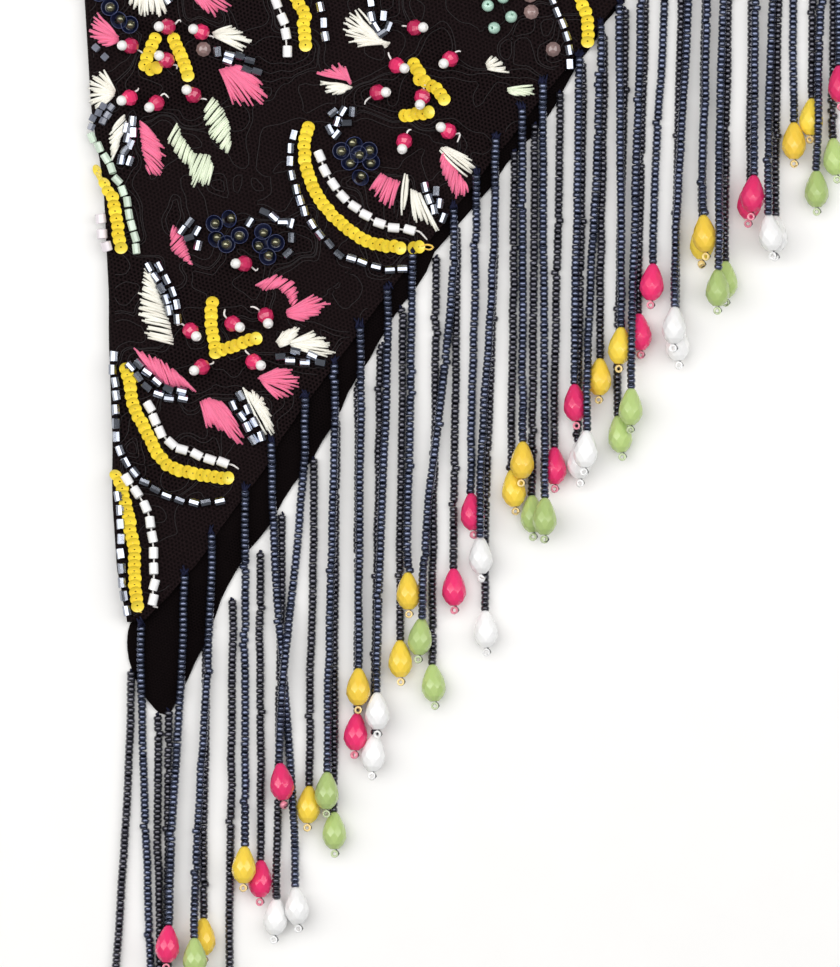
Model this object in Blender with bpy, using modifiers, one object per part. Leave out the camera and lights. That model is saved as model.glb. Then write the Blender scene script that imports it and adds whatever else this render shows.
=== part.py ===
"""A triangular lace bandana, folded in half and laid flat, with a beaded fringe on both short edges.

Run it with: blender --background --python part.py
Units are metres, +Z is up, and the bandana lies on the plane z = 0. +Y points along the
photographed view's upright, from the bandana's point towards its long edge. The origin is on
the underside of the lower layer, near the middle of the cloth.

One triangular cut of lace is folded along its middle line. The lower layer is flat, the upper
layer lies on it, and a soft roll at the left joins them. The bandana's point hangs a little
below the foot of the fold as a rounded tongue of the lower layer. Each short edge carries a
narrow fringe heading with strands of seed beads that end in faceted drops.
"""

import math

import bpy
import numpy as np

# The cut of the cloth. The foot of the fold is where the fold's outer line meets the upper hem.
FOOT = (-0.100, -0.280)
FOLD_LEAN = math.radians(3.4)
HEM_LEAN = math.radians(37.6)
HEM_START = 0.0045
HEM_LENGTH = 0.540

# The lower layer shows beyond the upper one along both free edges, and ends in the tongue.
LOWER_MARGIN = 0.0020
POINT_HEM_LEAN = math.radians(29.9)
POINT_HEM_LENGTH = 0.117
TONGUE_TOP = (0.0, -0.003)
TONGUE_LEAN = math.radians(15.7)
TONGUE_HEM = (0.0153, -0.0120)
TONGUE_RADIUS = 0.0030

# Walls. The lower layer is thicker because its beadwork faces the surface it lies on.
GAP = 0.0003
LOWER_WALL = 0.0020
UPPER_WALL = 0.0012
UPPER_TOP = LOWER_WALL + GAP + UPPER_WALL
ROLL_RADIUS = 0.0024
ROLL_FALL = 0.009

# The fringe heading and its strands.
STRIP_WIDTH = 0.0018
STRIP_WALL = 0.0010
SEED_RADIUS = 0.00105
CLEARANCE = 0.00016
LAID_STEP = 0.0015
STRAND_KNOTS = 9

# Teardrop below each strand: distance along its axis and radius at that place.
DROP_PROFILE = ((0.0016, 0.0018), (0.0052, 0.0030), (0.0084, 0.0019), (0.0108, 0.0009))
DROP_BELLY = 1
DROP_BERTH = 0.0038
DROP_EASE = 0.018
SWINGS = (0.0, -0.0008, 0.0008, -0.0016, 0.0016, -0.0024, 0.0024)

# Strands that the photograph shows, from the point outwards. Columns: distance along the hem,
# sideways sway of the strand's end, length of the strand, all in millimetres.
UPPER_STRANDS = (
    (0.5, 0.3, 101), (14.4, -2.7, 86), (26.3, -4.7, 99), (39.9, -0.5, 86), (50.9, 5.8, 106),
    (64.5, -6.3, 86), (76.7, -2.0, 98), (87.4, -1.5, 80), (98.4, -2.7, 94), (108.3, -1.8, 73),
    (125.5, -8.0, 97), (134.5, -1.3, 73), (142.3, -1.8, 91), (153.3, -0.4, 76),
    (161.9, -0.5, 97), (176.7, -1.3, 80), (185.3, -3.4, 99), (193.1, 0.5, 78),
    (201.7, -2.2, 101), (211.9, -3.0, 77), (222.2, -4.0, 96), (229.5, -1.0, 79),
    (236.5, -2.0, 98), (249.6, -0.6, 85), (258.3, -1.8, 103), (265.2, -0.5, 84),
    (277.9, -2.5, 106), (285.6, -1.7, 86),
)
LOWER_STRANDS = (
    (0.3, -4.2, 102), (11.3, 0.0, 82), (13.9, 1.5, 101), (35.1, -2.8, 70), (45.2, -1.3, 93),
    (58.7, -0.3, 76), (69.7, -1.2, 96), (85.8, -0.3, 81), (96.8, -0.5, 97), (107.9, -0.3, 83),
    (118.8, -1.0, 98), (129.7, -0.8, 83), (144.8, -1.0, 102), (154.0, -1.3, 85),
    (169.9, -2.5, 108), (176.9, -0.7, 79), (184.7, -0.8, 92), (196.4, 0.2, 88),
    (205.8, -1.2, 94), (214.4, -1.0, 80), (222.9, -3.0, 102), (231.1, -1.7, 82),
    (248.2, -3.0, 98), (256.0, -1.0, 79), (265.4, -1.0, 96), (275.1, -0.7, 84),
    (286.1, -1.2, 101), (300.4, -0.8, 83), (309.3, -0.7, 100),
)
# Beyond the photograph the strands keep the same spacing and alternate long and short.
HIDDEN_PITCH = 10.7
HIDDEN_LENGTHS = (84, 103)
HIDDEN_SWAYS = (-1.0, -2.0, 0.0, -1.5, -0.5)
HEM_END_MARGIN = 4.0

MILLIMETRE = 0.001

COLOURS = {
    "lace": (0.012, 0.010, 0.012, 1.0),
    "seed": (0.020, 0.035, 0.090, 1.0),
}


def clear_scene():
    """Removes everything that the startup file holds."""
    for item in list(bpy.data.objects):
        bpy.data.objects.remove(item, do_unlink=True)


def material(name, colour, roughness, metallic):
    """A Principled material."""
    made = bpy.data.materials.new(name)
    made.use_nodes = True
    shader = made.node_tree.nodes["Principled BSDF"]
    shader.inputs["Base Color"].default_value = colour
    shader.inputs["Roughness"].default_value = roughness
    shader.inputs["Metallic"].default_value = metallic
    return made


def leaning(angle):
    """Unit direction that leans this far to the right of straight up the cloth."""
    return np.array((math.sin(angle), math.cos(angle)))


def outward(angle):
    """Unit direction to the right of an edge that leans this far."""
    return np.array((math.cos(angle), -math.sin(angle)))


def fold_point(distance):
    """Outer line of the fold, this far up from its foot."""
    return np.array(FOOT) + distance * leaning(-FOLD_LEAN)


def upper_hem(distance):
    """Edge of the upper layer, this far up from the foot of the fold."""
    return np.array(FOOT) + (HEM_START, 0.0) + distance * leaning(HEM_LEAN)


def fold_length():
    """Length at which a line square to the fold reaches the far end of the upper hem."""
    return float((upper_hem(HEM_LENGTH) - FOOT) @ leaning(-FOLD_LEAN))


def bend_centre():
    """Place on the lower hem where its lean changes."""
    return np.array(FOOT) + TONGUE_HEM + POINT_HEM_LENGTH * leaning(POINT_HEM_LEAN)


def tongue_corner():
    """Sharp corner that the rounded point of the cloth would have."""
    edge, hem = leaning(-TONGUE_LEAN), leaning(POINT_HEM_LEAN)
    apart = np.array(TONGUE_HEM) - TONGUE_TOP
    along = np.linalg.solve(np.column_stack((-edge, hem)), apart)
    return np.array(FOOT) + TONGUE_TOP - along[0] * edge


def tongue_arc(steps=7):
    """Points round the tongue, from its left edge to the lower hem."""
    half = (TONGUE_LEAN + POINT_HEM_LEAN) / 2
    middle = tongue_corner() + TONGUE_RADIUS / math.sin(half) * leaning(POINT_HEM_LEAN - half)
    start, end = math.pi + TONGUE_LEAN, 2 * math.pi - POINT_HEM_LEAN
    turns = np.linspace(start, end, steps)
    return [middle + TONGUE_RADIUS * np.array((math.cos(a), math.sin(a))) for a in turns]


def lower_far_end():
    """Far end of the lower hem, beyond the upper one by the margin."""
    return upper_hem(HEM_LENGTH) + LOWER_MARGIN * outward(HEM_LEAN)


def lower_hem_path():
    """The lower hem as points, from the tongue's left edge round its point to the far end."""
    start = np.array(FOOT) + TONGUE_TOP + 0.0105 * -leaning(-TONGUE_LEAN)
    bend, far = bend_centre(), lower_far_end()
    ease = 0.030
    before = bend - ease * leaning(POINT_HEM_LEAN)
    after = bend + ease * (far - bend) / np.linalg.norm(far - bend)
    rounding = [
        (1 - t) ** 2 * before + 2 * t * (1 - t) * bend + t**2 * after
        for t in np.linspace(0, 1, 6)
    ]
    return np.array([start, *tongue_arc(), *rounding, far])


def upper_hem_path():
    """The upper hem as points."""
    return np.array([upper_hem(0.0), upper_hem(HEM_LENGTH)])


def along(path, distance):
    """Point and unit direction at a distance along a path of points."""
    steps = np.linalg.norm(np.diff(path, axis=0), axis=1)
    at = np.concatenate(((0.0,), np.cumsum(steps)))
    k = int(np.clip(np.searchsorted(at, distance) - 1, 0, len(steps) - 1))
    direction = (path[k + 1] - path[k]) / steps[k]
    return path[k] + (distance - at[k]) * direction, direction


def offset_path(path, distance):
    """The path moved sideways, to the right of the way it runs."""
    directions = np.gradient(path, axis=0)
    directions /= np.linalg.norm(directions, axis=1)[:, None]
    sideways = np.column_stack((directions[:, 1], -directions[:, 0]))
    return path + distance * sideways


def link(item, collection, finish):
    """Puts an object in the bandana's collection with its material."""
    item.data.materials.append(finish)
    collection.objects.link(item)
    return item


def grid_mesh(name, rows):
    """Mesh of quads through equal rows of points."""
    count = len(rows[0])
    points = [tuple(p) for row in rows for p in row]
    faces = [
        (r * count + c, r * count + c + 1, (r + 1) * count + c + 1, (r + 1) * count + c)
        for r in range(len(rows) - 1)
        for c in range(count - 1)
    ]
    mesh = bpy.data.meshes.new(name)
    mesh.from_pydata(points, [], faces)
    mesh.shade_smooth()
    return mesh


def solidify(item, wall):
    """Gives an open surface its wall, on the side away from its normals."""
    shell = item.modifiers.new("wall", "SOLIDIFY")
    shell.thickness = wall
    shell.offset = -1
    shell.use_even_offset = True
    return item


def upper_section(width):
    """Section across the upper layer: distance from the fold's outer line, and height.

    It starts under the roll, goes round it, and runs out to the hem.
    """
    turns = np.linspace(-math.pi / 2, -3 * math.pi / 2, 9)
    roll = [(ROLL_RADIUS * (1 + math.cos(a)), ROLL_RADIUS * (1 + math.sin(a))) for a in turns]
    run = ROLL_RADIUS + (width - ROLL_RADIUS) * np.linspace(0, 1, 10)[1:] ** 2
    rise = 2 * ROLL_RADIUS - UPPER_TOP
    falls = [UPPER_TOP + rise * math.exp(-(((d - ROLL_RADIUS) / ROLL_FALL) ** 2)) for d in run]
    return roll + list(zip(run, falls))


def make_upper_layer(collection, finish):
    """The upper layer with the roll of the fold, as one wall."""
    rows = []
    for part in np.linspace(0, 1, 19):
        start, end = fold_point(part * fold_length()), upper_hem(part * HEM_LENGTH)
        width = float(np.linalg.norm(end - start))
        across = (end - start) / width
        rows.append([(*(start + d * across), z) for d, z in upper_section(width)])
    item = bpy.data.objects.new("upper_layer", grid_mesh("upper_layer", rows))
    return link(solidify(item, UPPER_WALL), collection, finish)


def lower_outline():
    """Closed outline of the lower layer."""
    seam = (ROLL_RADIUS + GAP) * outward(-FOLD_LEAN)
    square = LOWER_MARGIN * leaning(-FOLD_LEAN)
    foot = fold_point(-GAP) + seam
    top = fold_point(fold_length()) + seam
    tongue_top = np.array(FOOT) + TONGUE_TOP
    hem = lower_hem_path()[1:-1]
    return [foot, tongue_top, *hem, lower_far_end(), lower_far_end() + square, top + square]


def make_lower_layer(collection, finish):
    """The lower layer, a flat wall that rests on its underside."""
    curve = bpy.data.curves.new("lower_layer", "CURVE")
    curve.dimensions = "2D"
    curve.fill_mode = "BOTH"
    curve.extrude = LOWER_WALL / 2
    outline = lower_outline()
    spline = curve.splines.new("POLY")
    spline.points.add(len(outline) - 1)
    for point, place in zip(spline.points, outline):
        point.co = (*place, 0.0, 1.0)
    spline.use_cyclic_u = True
    item = bpy.data.objects.new("lower_layer", curve)
    item.location.z = LOWER_WALL / 2
    return link(item, collection, finish)


def strand_rows(seen, hem_length):
    """The seen strands and, beyond them, the ones that the photograph doesn't reach."""
    rows = list(seen)
    count = int((hem_length / MILLIMETRE - HEM_END_MARGIN - seen[-1][0]) / HIDDEN_PITCH)
    after_short = seen[-1][2] < sum(HIDDEN_LENGTHS) / 2
    for k in range(count):
        sway = HIDDEN_SWAYS[k % len(HIDDEN_SWAYS)]
        length = HIDDEN_LENGTHS[(k + after_short) % len(HIDDEN_LENGTHS)]
        rows.append((seen[-1][0] + (k + 1) * HIDDEN_PITCH, sway, length))
    return [tuple(MILLIMETRE * value for value in row) for row in rows]


def strand_line(root, sway, length, drops):
    """Places down a strand, close together, swaying to one side and passing beside drops."""
    count = int(round(length / LAID_STEP))
    parts = np.linspace(0, 1, count + 1)
    sideways = sway * parts**2 * (3 - 2 * parts)
    line = np.column_stack((root[0] + sideways, root[1] - length * parts))
    for drop in drops:
        k = int(np.argmin(abs(line[:, 1] - drop[1])))
        aside = line[k, 0] - drop[0]
        if abs(line[k, 1] - drop[1]) < LAID_STEP and abs(aside) < DROP_BERTH:
            reach = np.clip(abs(line[:, 1] - drop[1]) / DROP_EASE, 0, 1)
            push = math.copysign(DROP_BERTH - abs(aside), aside)
            line[:, 0] += push * (1 - reach**2 * (3 - 2 * reach)) * np.minimum(8 * parts, 1)
    return line


class Pile:
    """Balls that are already laid down, and the ground under them."""

    def __init__(self, cloth_edge, cloth_height):
        self.cloth_edge = cloth_edge
        self.cloth_height = cloth_height
        self.balls = np.zeros((0, 4))
        self.drops = []

    def rest_height(self, place, radius):
        """Lowest height at which a ball here clears the ground and every ball laid before."""
        on_cloth = place[0] < self.cloth_edge(place[1]) + radius
        needed = (self.cloth_height if on_cloth else 0.0) + radius + CLEARANCE
        reach = radius + self.balls[:, 3] + CLEARANCE
        apart = np.hypot(self.balls[:, 0] - place[0], self.balls[:, 1] - place[1])
        near = apart < reach
        lift = np.sqrt(reach[near] ** 2 - apart[near] ** 2)
        return float(np.max(self.balls[near, 2] + lift, initial=needed))

    def add(self, points):
        """Lays down balls, given as rows of x, y, height and radius."""
        self.balls = np.vstack((self.balls, points))


def lie(pile, root, root_height, sway, length):
    """How a strand and its drop would lie: its close line, the knots of its tube, and its drop."""
    line = strand_line(root, sway, length, pile.drops)
    needed = np.array([pile.rest_height(p, SEED_RADIUS) for p in line])
    knots = np.round(np.linspace(0, len(line) - 1, STRAND_KNOTS)).astype(int)
    heights = [
        needed[knots[max(i - 1, 0)] : knots[min(i + 1, len(knots) - 1)] + 1].max()
        for i in range(len(knots))
    ]
    heights[0] = max(root_height, heights[0])
    level = np.interp(np.arange(len(line)), knots, heights)
    places = [line[-1] - (0.0, at) for at, _ in DROP_PROFILE]
    rests = [pile.rest_height(p, radius) for p, (_, radius) in zip(places, DROP_PROFILE)]
    belly = max(rests)
    rises = [max(rests[0], (heights[-1] + belly) / 2)] + [belly] * (len(rests) - 1)
    drop = [(*p, rise, radius) for p, rise, (_, radius) in zip(places, rises, DROP_PROFILE)]
    laid = np.column_stack((line, level, np.full(len(line), SEED_RADIUS)))
    return laid, laid[knots], np.array(drop)


def lay_strand(pile, root, root_height, sway, length):
    """Lays one strand, its end swung to where it lies lowest, and returns its tube."""
    options = [lie(pile, root, root_height, sway + swing, length) for swing in SWINGS]
    costs = [
        knots[:, 2].max() + drop[:, 2].max() + 0.5 * abs(swing)
        for swing, (_, knots, drop) in zip(SWINGS, options)
    ]
    laid, knots, drop = options[int(np.argmin(costs))]
    fine = np.linspace(0, len(drop) - 1, 13)
    dense = np.column_stack([np.interp(fine, range(len(drop)), column) for column in drop.T])
    pile.add(laid)
    pile.add(dense)
    pile.drops.append(drop[DROP_BELLY, :2])
    return [*knots, *drop]


def strands_curve(name, strands):
    """All strands of one fringe as four-sided tubes whose radius follows the drops."""
    curve = bpy.data.curves.new(name, "CURVE")
    curve.dimensions = "3D"
    curve.bevel_depth = 1.0
    curve.bevel_resolution = 0
    curve.use_fill_caps = True
    for points in strands:
        spline = curve.splines.new("POLY")
        spline.points.add(len(points) - 1)
        for point, (x, y, z, radius) in zip(spline.points, points):
            point.co = (x, y, z, 1.0)
            point.radius = radius
    return bpy.data.objects.new(name, curve)


def welded_mesh(item, name):
    """The object's evaluated shape as a mesh object, with its loose caps joined on."""
    bpy.context.scene.collection.objects.link(item)
    graph = bpy.context.evaluated_depsgraph_get()
    mesh = bpy.data.meshes.new_from_object(item.evaluated_get(graph))
    made = bpy.data.objects.new(name, mesh)
    made.matrix_world = item.matrix_world
    bpy.data.objects.remove(item)
    weld = made.modifiers.new("weld", "WELD")
    weld.merge_threshold = 0.00001
    return made


def make_fringe(name, path, top, strands, collection, tools, finish):
    """A fringe heading along a hem, with its strands fused into it."""
    inner = offset_path(path, GAP)
    outer = offset_path(path, GAP + STRIP_WIDTH)
    rows = [[(*a, top), (*b, top)] for a, b in zip(inner, outer)]
    heading = bpy.data.objects.new(name, grid_mesh(name, rows))
    solidify(heading, STRIP_WALL)
    tubes = welded_mesh(strands_curve(f"{name}_strands", strands), f"{name}_strands")
    tubes.hide_render = True
    tubes.display_type = "WIRE"
    tools.objects.link(tubes)
    join = heading.modifiers.new("strands", "BOOLEAN")
    join.operation = "UNION"
    join.object = tubes
    return link(heading, collection, finish)


def hem_edge_at(path):
    """Function that gives the hem's x at a height, and nothing below the hem's lowest point."""
    order = np.argsort(path[:, 1])
    heights, places = path[order, 1], path[order, 0]
    return lambda y: float(np.interp(y, heights, places, left=-1.0))


def hang(pile, path, seen, root_height):
    """Lays the strands of one hem, from the point outwards."""
    length = float(np.linalg.norm(np.diff(path, axis=0), axis=1).sum())
    strands = []
    for at, sway, strand_length in strand_rows(seen, length):
        place, direction = along(path, at)
        root = place + (GAP + STRIP_WIDTH / 2) * np.array((direction[1], -direction[0]))
        strands.append(lay_strand(pile, root, root_height, sway, strand_length))
    return strands


def lay_fringes():
    """Lays the lower strands and then the upper ones over them."""
    path = lower_hem_path()
    covered = hem_edge_at(offset_path(path[len(tongue_arc()) // 2 + 1 :], GAP + STRIP_WIDTH))
    pile = Pile(lambda y: -1.0, 0.0)
    lower = hang(pile, path, LOWER_STRANDS, SEED_RADIUS + CLEARANCE)
    pile.cloth_edge, pile.cloth_height = covered, LOWER_WALL + GAP
    height = UPPER_TOP - STRIP_WALL + SEED_RADIUS
    return lower, hang(pile, upper_hem_path(), UPPER_STRANDS, height)


def main():
    """Builds the bandana."""
    clear_scene()
    bandana = bpy.data.collections.new("bandana")
    tools = bpy.data.collections.new("cutters")
    for collection in (bandana, tools):
        bpy.context.scene.collection.children.link(collection)
    lace = material("lace", COLOURS["lace"], 0.85, 0.0)
    seed = material("seed_beads", COLOURS["seed"], 0.25, 0.6)
    make_lower_layer(bandana, lace)
    make_upper_layer(bandana, lace)
    lower, upper = lay_fringes()
    kit = (bandana, tools, seed)
    make_fringe("lower_fringe", lower_hem_path(), LOWER_WALL - GAP, lower, *kit)
    make_fringe("upper_fringe", upper_hem_path(), UPPER_TOP, upper, *kit)


if __name__ == "__main__":
    main()
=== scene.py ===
"""Looks of a triangular black lace bandana, folded in half and laid flat, with a beaded fringe.

It is laid out as a Blender add-on and run as a script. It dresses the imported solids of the
bandana: two layers of corded lace, hand embroidery in sequins, beads and thread, and strands of
seed beads that end in faceted drops. Units are metres, +Z is up, and the bandana lies on z = 0.
"""

import collections
import functools
import itertools
import math

import bpy
import numpy as np
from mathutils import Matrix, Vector


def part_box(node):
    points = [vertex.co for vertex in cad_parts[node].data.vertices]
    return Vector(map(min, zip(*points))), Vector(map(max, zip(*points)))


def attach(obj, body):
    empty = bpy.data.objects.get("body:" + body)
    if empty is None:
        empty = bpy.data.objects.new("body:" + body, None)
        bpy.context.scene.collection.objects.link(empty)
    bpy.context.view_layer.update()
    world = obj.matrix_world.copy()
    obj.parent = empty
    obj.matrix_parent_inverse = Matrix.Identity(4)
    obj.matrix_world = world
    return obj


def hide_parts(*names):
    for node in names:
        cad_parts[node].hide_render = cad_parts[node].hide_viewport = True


bl_info = {
    "name": "Beaded lace bandana",
    "version": (1, 0, 0),
    "blender": (4, 5, 0),
    "location": "3D View > Sidebar > Bandana",
    "description": "Dresses a folded lace bandana in embroidery and a beaded fringe",
    "category": "Object",
}

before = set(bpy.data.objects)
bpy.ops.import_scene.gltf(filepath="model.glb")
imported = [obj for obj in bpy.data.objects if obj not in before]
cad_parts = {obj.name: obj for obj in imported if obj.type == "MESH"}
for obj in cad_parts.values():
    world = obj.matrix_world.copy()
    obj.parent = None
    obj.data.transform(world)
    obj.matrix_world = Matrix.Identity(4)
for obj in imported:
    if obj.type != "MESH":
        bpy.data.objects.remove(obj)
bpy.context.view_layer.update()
MILLIMETRE = 0.001

# The cut of the cloth, as in the solids. The foot of the fold is where it meets the upper hem.
FOOT = np.array((-0.100, -0.280))
FOLD_LEAN = math.radians(3.4)
HEM_LEAN = math.radians(37.6)
HEM_START = 0.0045
HEM_LENGTH = 0.540
LOWER_MARGIN = 0.0020
POINT_HEM_LEAN = math.radians(29.9)
POINT_HEM_LENGTH = 0.117
TONGUE_TOP = (0.0, -0.003)
TONGUE_LEAN = math.radians(15.7)
TONGUE_HEM = (0.0153, -0.0120)
TONGUE_RADIUS = 0.0030
TONGUE_SIDE = 0.0105
BEND_EASE = 0.030
ROLL_FALL = 0.009
FOOT_EASE = 0.0065
GAP = 0.0003
STRIP_WIDTH = 0.0018
STRIP_WALL = 0.0010

# Heights that come from the solids.
LOWER_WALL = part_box("lower_layer")[1].z
ROLL_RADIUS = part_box("upper_layer")[1].z / 2
UPPER_TOP = LOWER_WALL + GAP + 0.0012

# How the thin cloth eases down at its edges.
LOWER_EDGE = 0.0008
LOWER_DROOP = 0.0035
HEM_SINK = 0.0006
HEM_EASE = 0.0035
CALM_WIDTH = 0.0060

# Waves of the cloth and small waves of its cut edges. Columns: height, width of one, seed.
UPPER_WAVES = ((0.00018, 0.016, 11), (0.00008, 0.006, 12))
LOWER_WAVES = (0.00016, 0.011, 21)
LOWER_CALM = 0.004
UPPER_FRAY = (0.0002, 0.0022, 14)
LOWER_FRAY = (0.0004, 0.0030, 22)

# How the strands lie, as in the solids.
SEED_RADIUS = 0.00105
CLEARANCE = 0.00016
LAID_STEP = 0.0015
STRAND_KNOTS = 9
DROP_PROFILE = ((0.0016, 0.0018), (0.0052, 0.0030), (0.0084, 0.0019), (0.0108, 0.0009))
DROP_BELLY = 1
DROP_BERTH = 0.0038
DROP_EASE = 0.018
SWINGS = (0.0, -0.0008, 0.0008, -0.0016, 0.0016, -0.0024, 0.0024)
SEEN_SWINGS = (0.0, -0.0004, 0.0004, -0.0008, 0.0008)
SEEN_TOP = 0.0140

# How far round a strand it is looked for what it may lie on.
NEARBY = 0.008
CLOSE_BY = 0.006

# The beads and the faceted drops on the strands. Stations: distance below the drop's widest
# place, and radius there.
BEAD_PITCH = 0.00130
BEAD_LENGTH = 0.00124
STRAND_SLOPE = 0.40
HAIR = 0.00010
DROP_GAP = 0.0006
DROP_TOP = 0.0056
DROP_PITCH = math.radians(7)
DROP_STATIONS = ((-0.0032, 0.0020), (0.0, 0.00308), (0.0026, 0.0022))

# How unevenly the beads are strung, and how far a drop swings, in degrees.
BEAD_JITTER = 0.00004
BEAD_WANDER = 0.00009
BEAD_STRAY = 0.00042
STRAY_SHARE = 0.022
DROP_SWING = 6

# Columns: distance along the hem, sideways sway of the end, length, and how far inside the hem
# the first bead lies, all in millimetres.
UPPER_STRANDS = (
    (-2.8, 2.6, 101, 1.9), (15.0, -3.7, 86, 0.6), (26.3, -4.2, 98, 1.9), (39.9, 0.0, 86, 1.9),
    (50.9, 5.8, 105, 5.2), (64.5, -6.3, 84.8, 5.7), (76.7, -1.9, 96.7, 4.5), (87.4, -0.6, 79.3, 5.0),
    (98.4, -2.7, 94, 5.8), (108.3, -1.1, 72, 6.9), (125.5, -8.0, 97, 4.6),
    (134.5, -1.3, 73, 5.9), (142.3, -3.8, 90, 8.7), (153.3, 0.2, 75, 7.3),
    (161.9, 0.4, 95.8, 6.9), (176.7, -1.3, 79.2, 1.7), (185.3, -3.4, 97.6, 3.0),
    (193.1, 0.5, 78, 2.0), (201.7, -2.3, 100, 1.9), (211.9, -3.0, 77, 2.1),
    (222.2, -4.0, 96, 1.5), (229.5, -1.5, 79, 2.4), (236.5, -2.0, 98, 3.9),
    (249.6, -1.0, 85, 1.0), (258.3, -2.9, 101.6, 0.4), (265.2, -0.5, 84, -0.1),
    (279.2, -3.3, 107, -2.7), (285.6, -1.7, 86, -2.1),
)
LOWER_STRANDS = (
    (-1.2, -4.5, 102, 0), (11.3, 0.6, 82, 0), (13.3, -0.2, 101, 0), (31.6, -0.6, 67, 0),
    (45.2, -0.9, 93, 0), (58.7, 0.3, 76, 0), (69.7, -1.2, 95, 0), (85.8, -1.1, 81, 0),
    (96.8, -0.5, 97, 0), (107.9, -0.2, 82, 0), (118.8, -1.3, 96.6, 0), (129.7, -0.8, 82.4, 0),
    (144.8, -1.0, 101, 0), (154.0, -0.9, 84.6, 0), (169.9, -2.5, 107.8, 0), (177.9, -0.7, 79, 0),
    (186.3, -0.8, 92, 0), (196.4, -1.4, 88, 0), (205.8, -1.2, 94, 0), (214.4, -1.0, 80, 0),
    (222.9, -1.9, 101, 0), (231.1, -1.7, 82, 0), (245.8, -1.4, 96.2, 0), (256.0, -1.0, 79, 0),
    (265.4, -1.0, 96, 0), (275.1, -0.7, 84, 0), (286.1, -1.2, 101, 0), (300.4, -0.8, 83, 0),
    (309.3, -1.2, 100, 0),
)
HIDDEN_PITCH = 10.7
HIDDEN_LENGTHS = (84, 103)
HIDDEN_SWAYS = (-1.0, -2.0, 0.0, -1.5, -0.5)
HIDDEN_STARTS = (2.0, 3.5, 1.0, 2.5)
HEM_END_MARGIN = 4.0

# Colours of the drops down each hem, one letter a strand: yellow, raspberry, green, milk white.
# After the last letter the final four repeat.
UPPER_DROPS = "WMGYWMGYWYGMWYGMWYGMWYGMWYGM"
LOWER_DROPS = "GMWYGMWYGMWYGMWYGMWYGMWYGMWYG"
DROP_COLOURS = {"Y": "yellow", "M": "raspberry", "G": "green", "W": "milk"}

# How far the fold and the upper hem wander from their straight lines. Columns: distance from
# the foot, distance outwards, both in millimetres.
FOLD_DRIFT = (
    (0, -0.3), (8, 0.6), (14, 1.4), (29, 1.5), (50, 0.5), (67, 0.1), (85, -0.7), (107, -0.9),
    (131, 1.0), (156, 1.0), (190, -0.4), (235, 0.8), (280, -0.6), (330, 0.5), (380, -0.3), (410, 0),
)
HEM_DRIFT = (
    (0, 0.0), (11, 1.0), (20, 1.6), (35, 0.8), (50, 0.5), (58, -0.6), (68, -1.2), (85, -1.4),
    (100, -1.8), (125, -1.4), (160, -1.0), (210, -0.5), (280, -0.9), (350, 0.2), (430, -0.7),
    (500, 0.3), (540, 0),
)
# The lower hem's distances start at the tongue's left edge.
LOWER_DRIFT = (
    (0, 0.0), (12, 0.9), (19, 1.6), (23, 1.1), (44, -1.5), (52, -1.8), (65, -0.5), (76, 0.0),
    (88, 0.8), (93, 1.0), (106, 0.4), (115, 0.9), (130, 0.2), (135, 1.6), (146, 0.2), (153, 0.9),
    (166, 2.2), (173, 1.3), (178, 1.6), (185, 3.0), (190, 2.8), (196, 1.9), (202, 0.4), (209, 0.4),
    (218, -0.6), (222, -0.2), (262, 0.5), (318, -0.5), (384, 0.4), (452, -0.4), (520, 0.3), (580, 0),
)

# Soft creases of the cloth. Columns: start x, start y, end x, end y, width and height, in
# millimetres from the foot of the fold.
CREASES = (
    (6, 60, 30, 96, 7, 0.45), (22, 30, 46, 52, 6, -0.35), (34, 92, 74, 104, 9, 0.40),
    (2, 118, 40, 128, 8, -0.40), (60, 120, 96, 150, 10, 0.50), (10, 150, 52, 170, 9, 0.45),
    (80, 168, 120, 172, 8, -0.35), (-4, 190, 34, 214, 10, 0.55), (60, 196, 110, 222, 12, 0.45),
    (120, 190, 150, 232, 9, 0.50), (16, 240, 70, 246, 11, -0.40), (96, 250, 150, 262, 10, 0.55),
    (170, 240, 200, 290, 12, 0.50), (-10, 282, 30, 300, 9, 0.40), (50, 290, 110, 316, 12, 0.60),
    (130, 300, 190, 306, 10, -0.40), (210, 300, 250, 350, 12, 0.50), (0, 340, 60, 352, 11, 0.50),
    (90, 350, 150, 372, 12, 0.45), (180, 340, 230, 386, 10, 0.55), (250, 370, 300, 410, 11, 0.50),
)

# The embroidery is drawn on a grid of quarter millimetres. Its columns run right and its rows
# run down, and the foot of the fold is at FOOT_CELL.
CELL = 0.00025
FOOT_CELL = (126, 622)
VIEW_CELLS = (840, 967)
VIEW_MARGIN = 12

# Outline of the lower layer's rounded tongue from its tip up to the foot, and up to the hem.
TONGUE_LEFT = (
    (162, 715), (155, 709), (146, 698), (138, 684), (132, 670), (128, 656), (127, 643), (128, 631),
    (129, 623.2),
)
TONGUE_RIGHT = ((162, 715), (168, 714), (174, 708), (182, 692), (191, 672), (204, 646), (221, 601))

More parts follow.
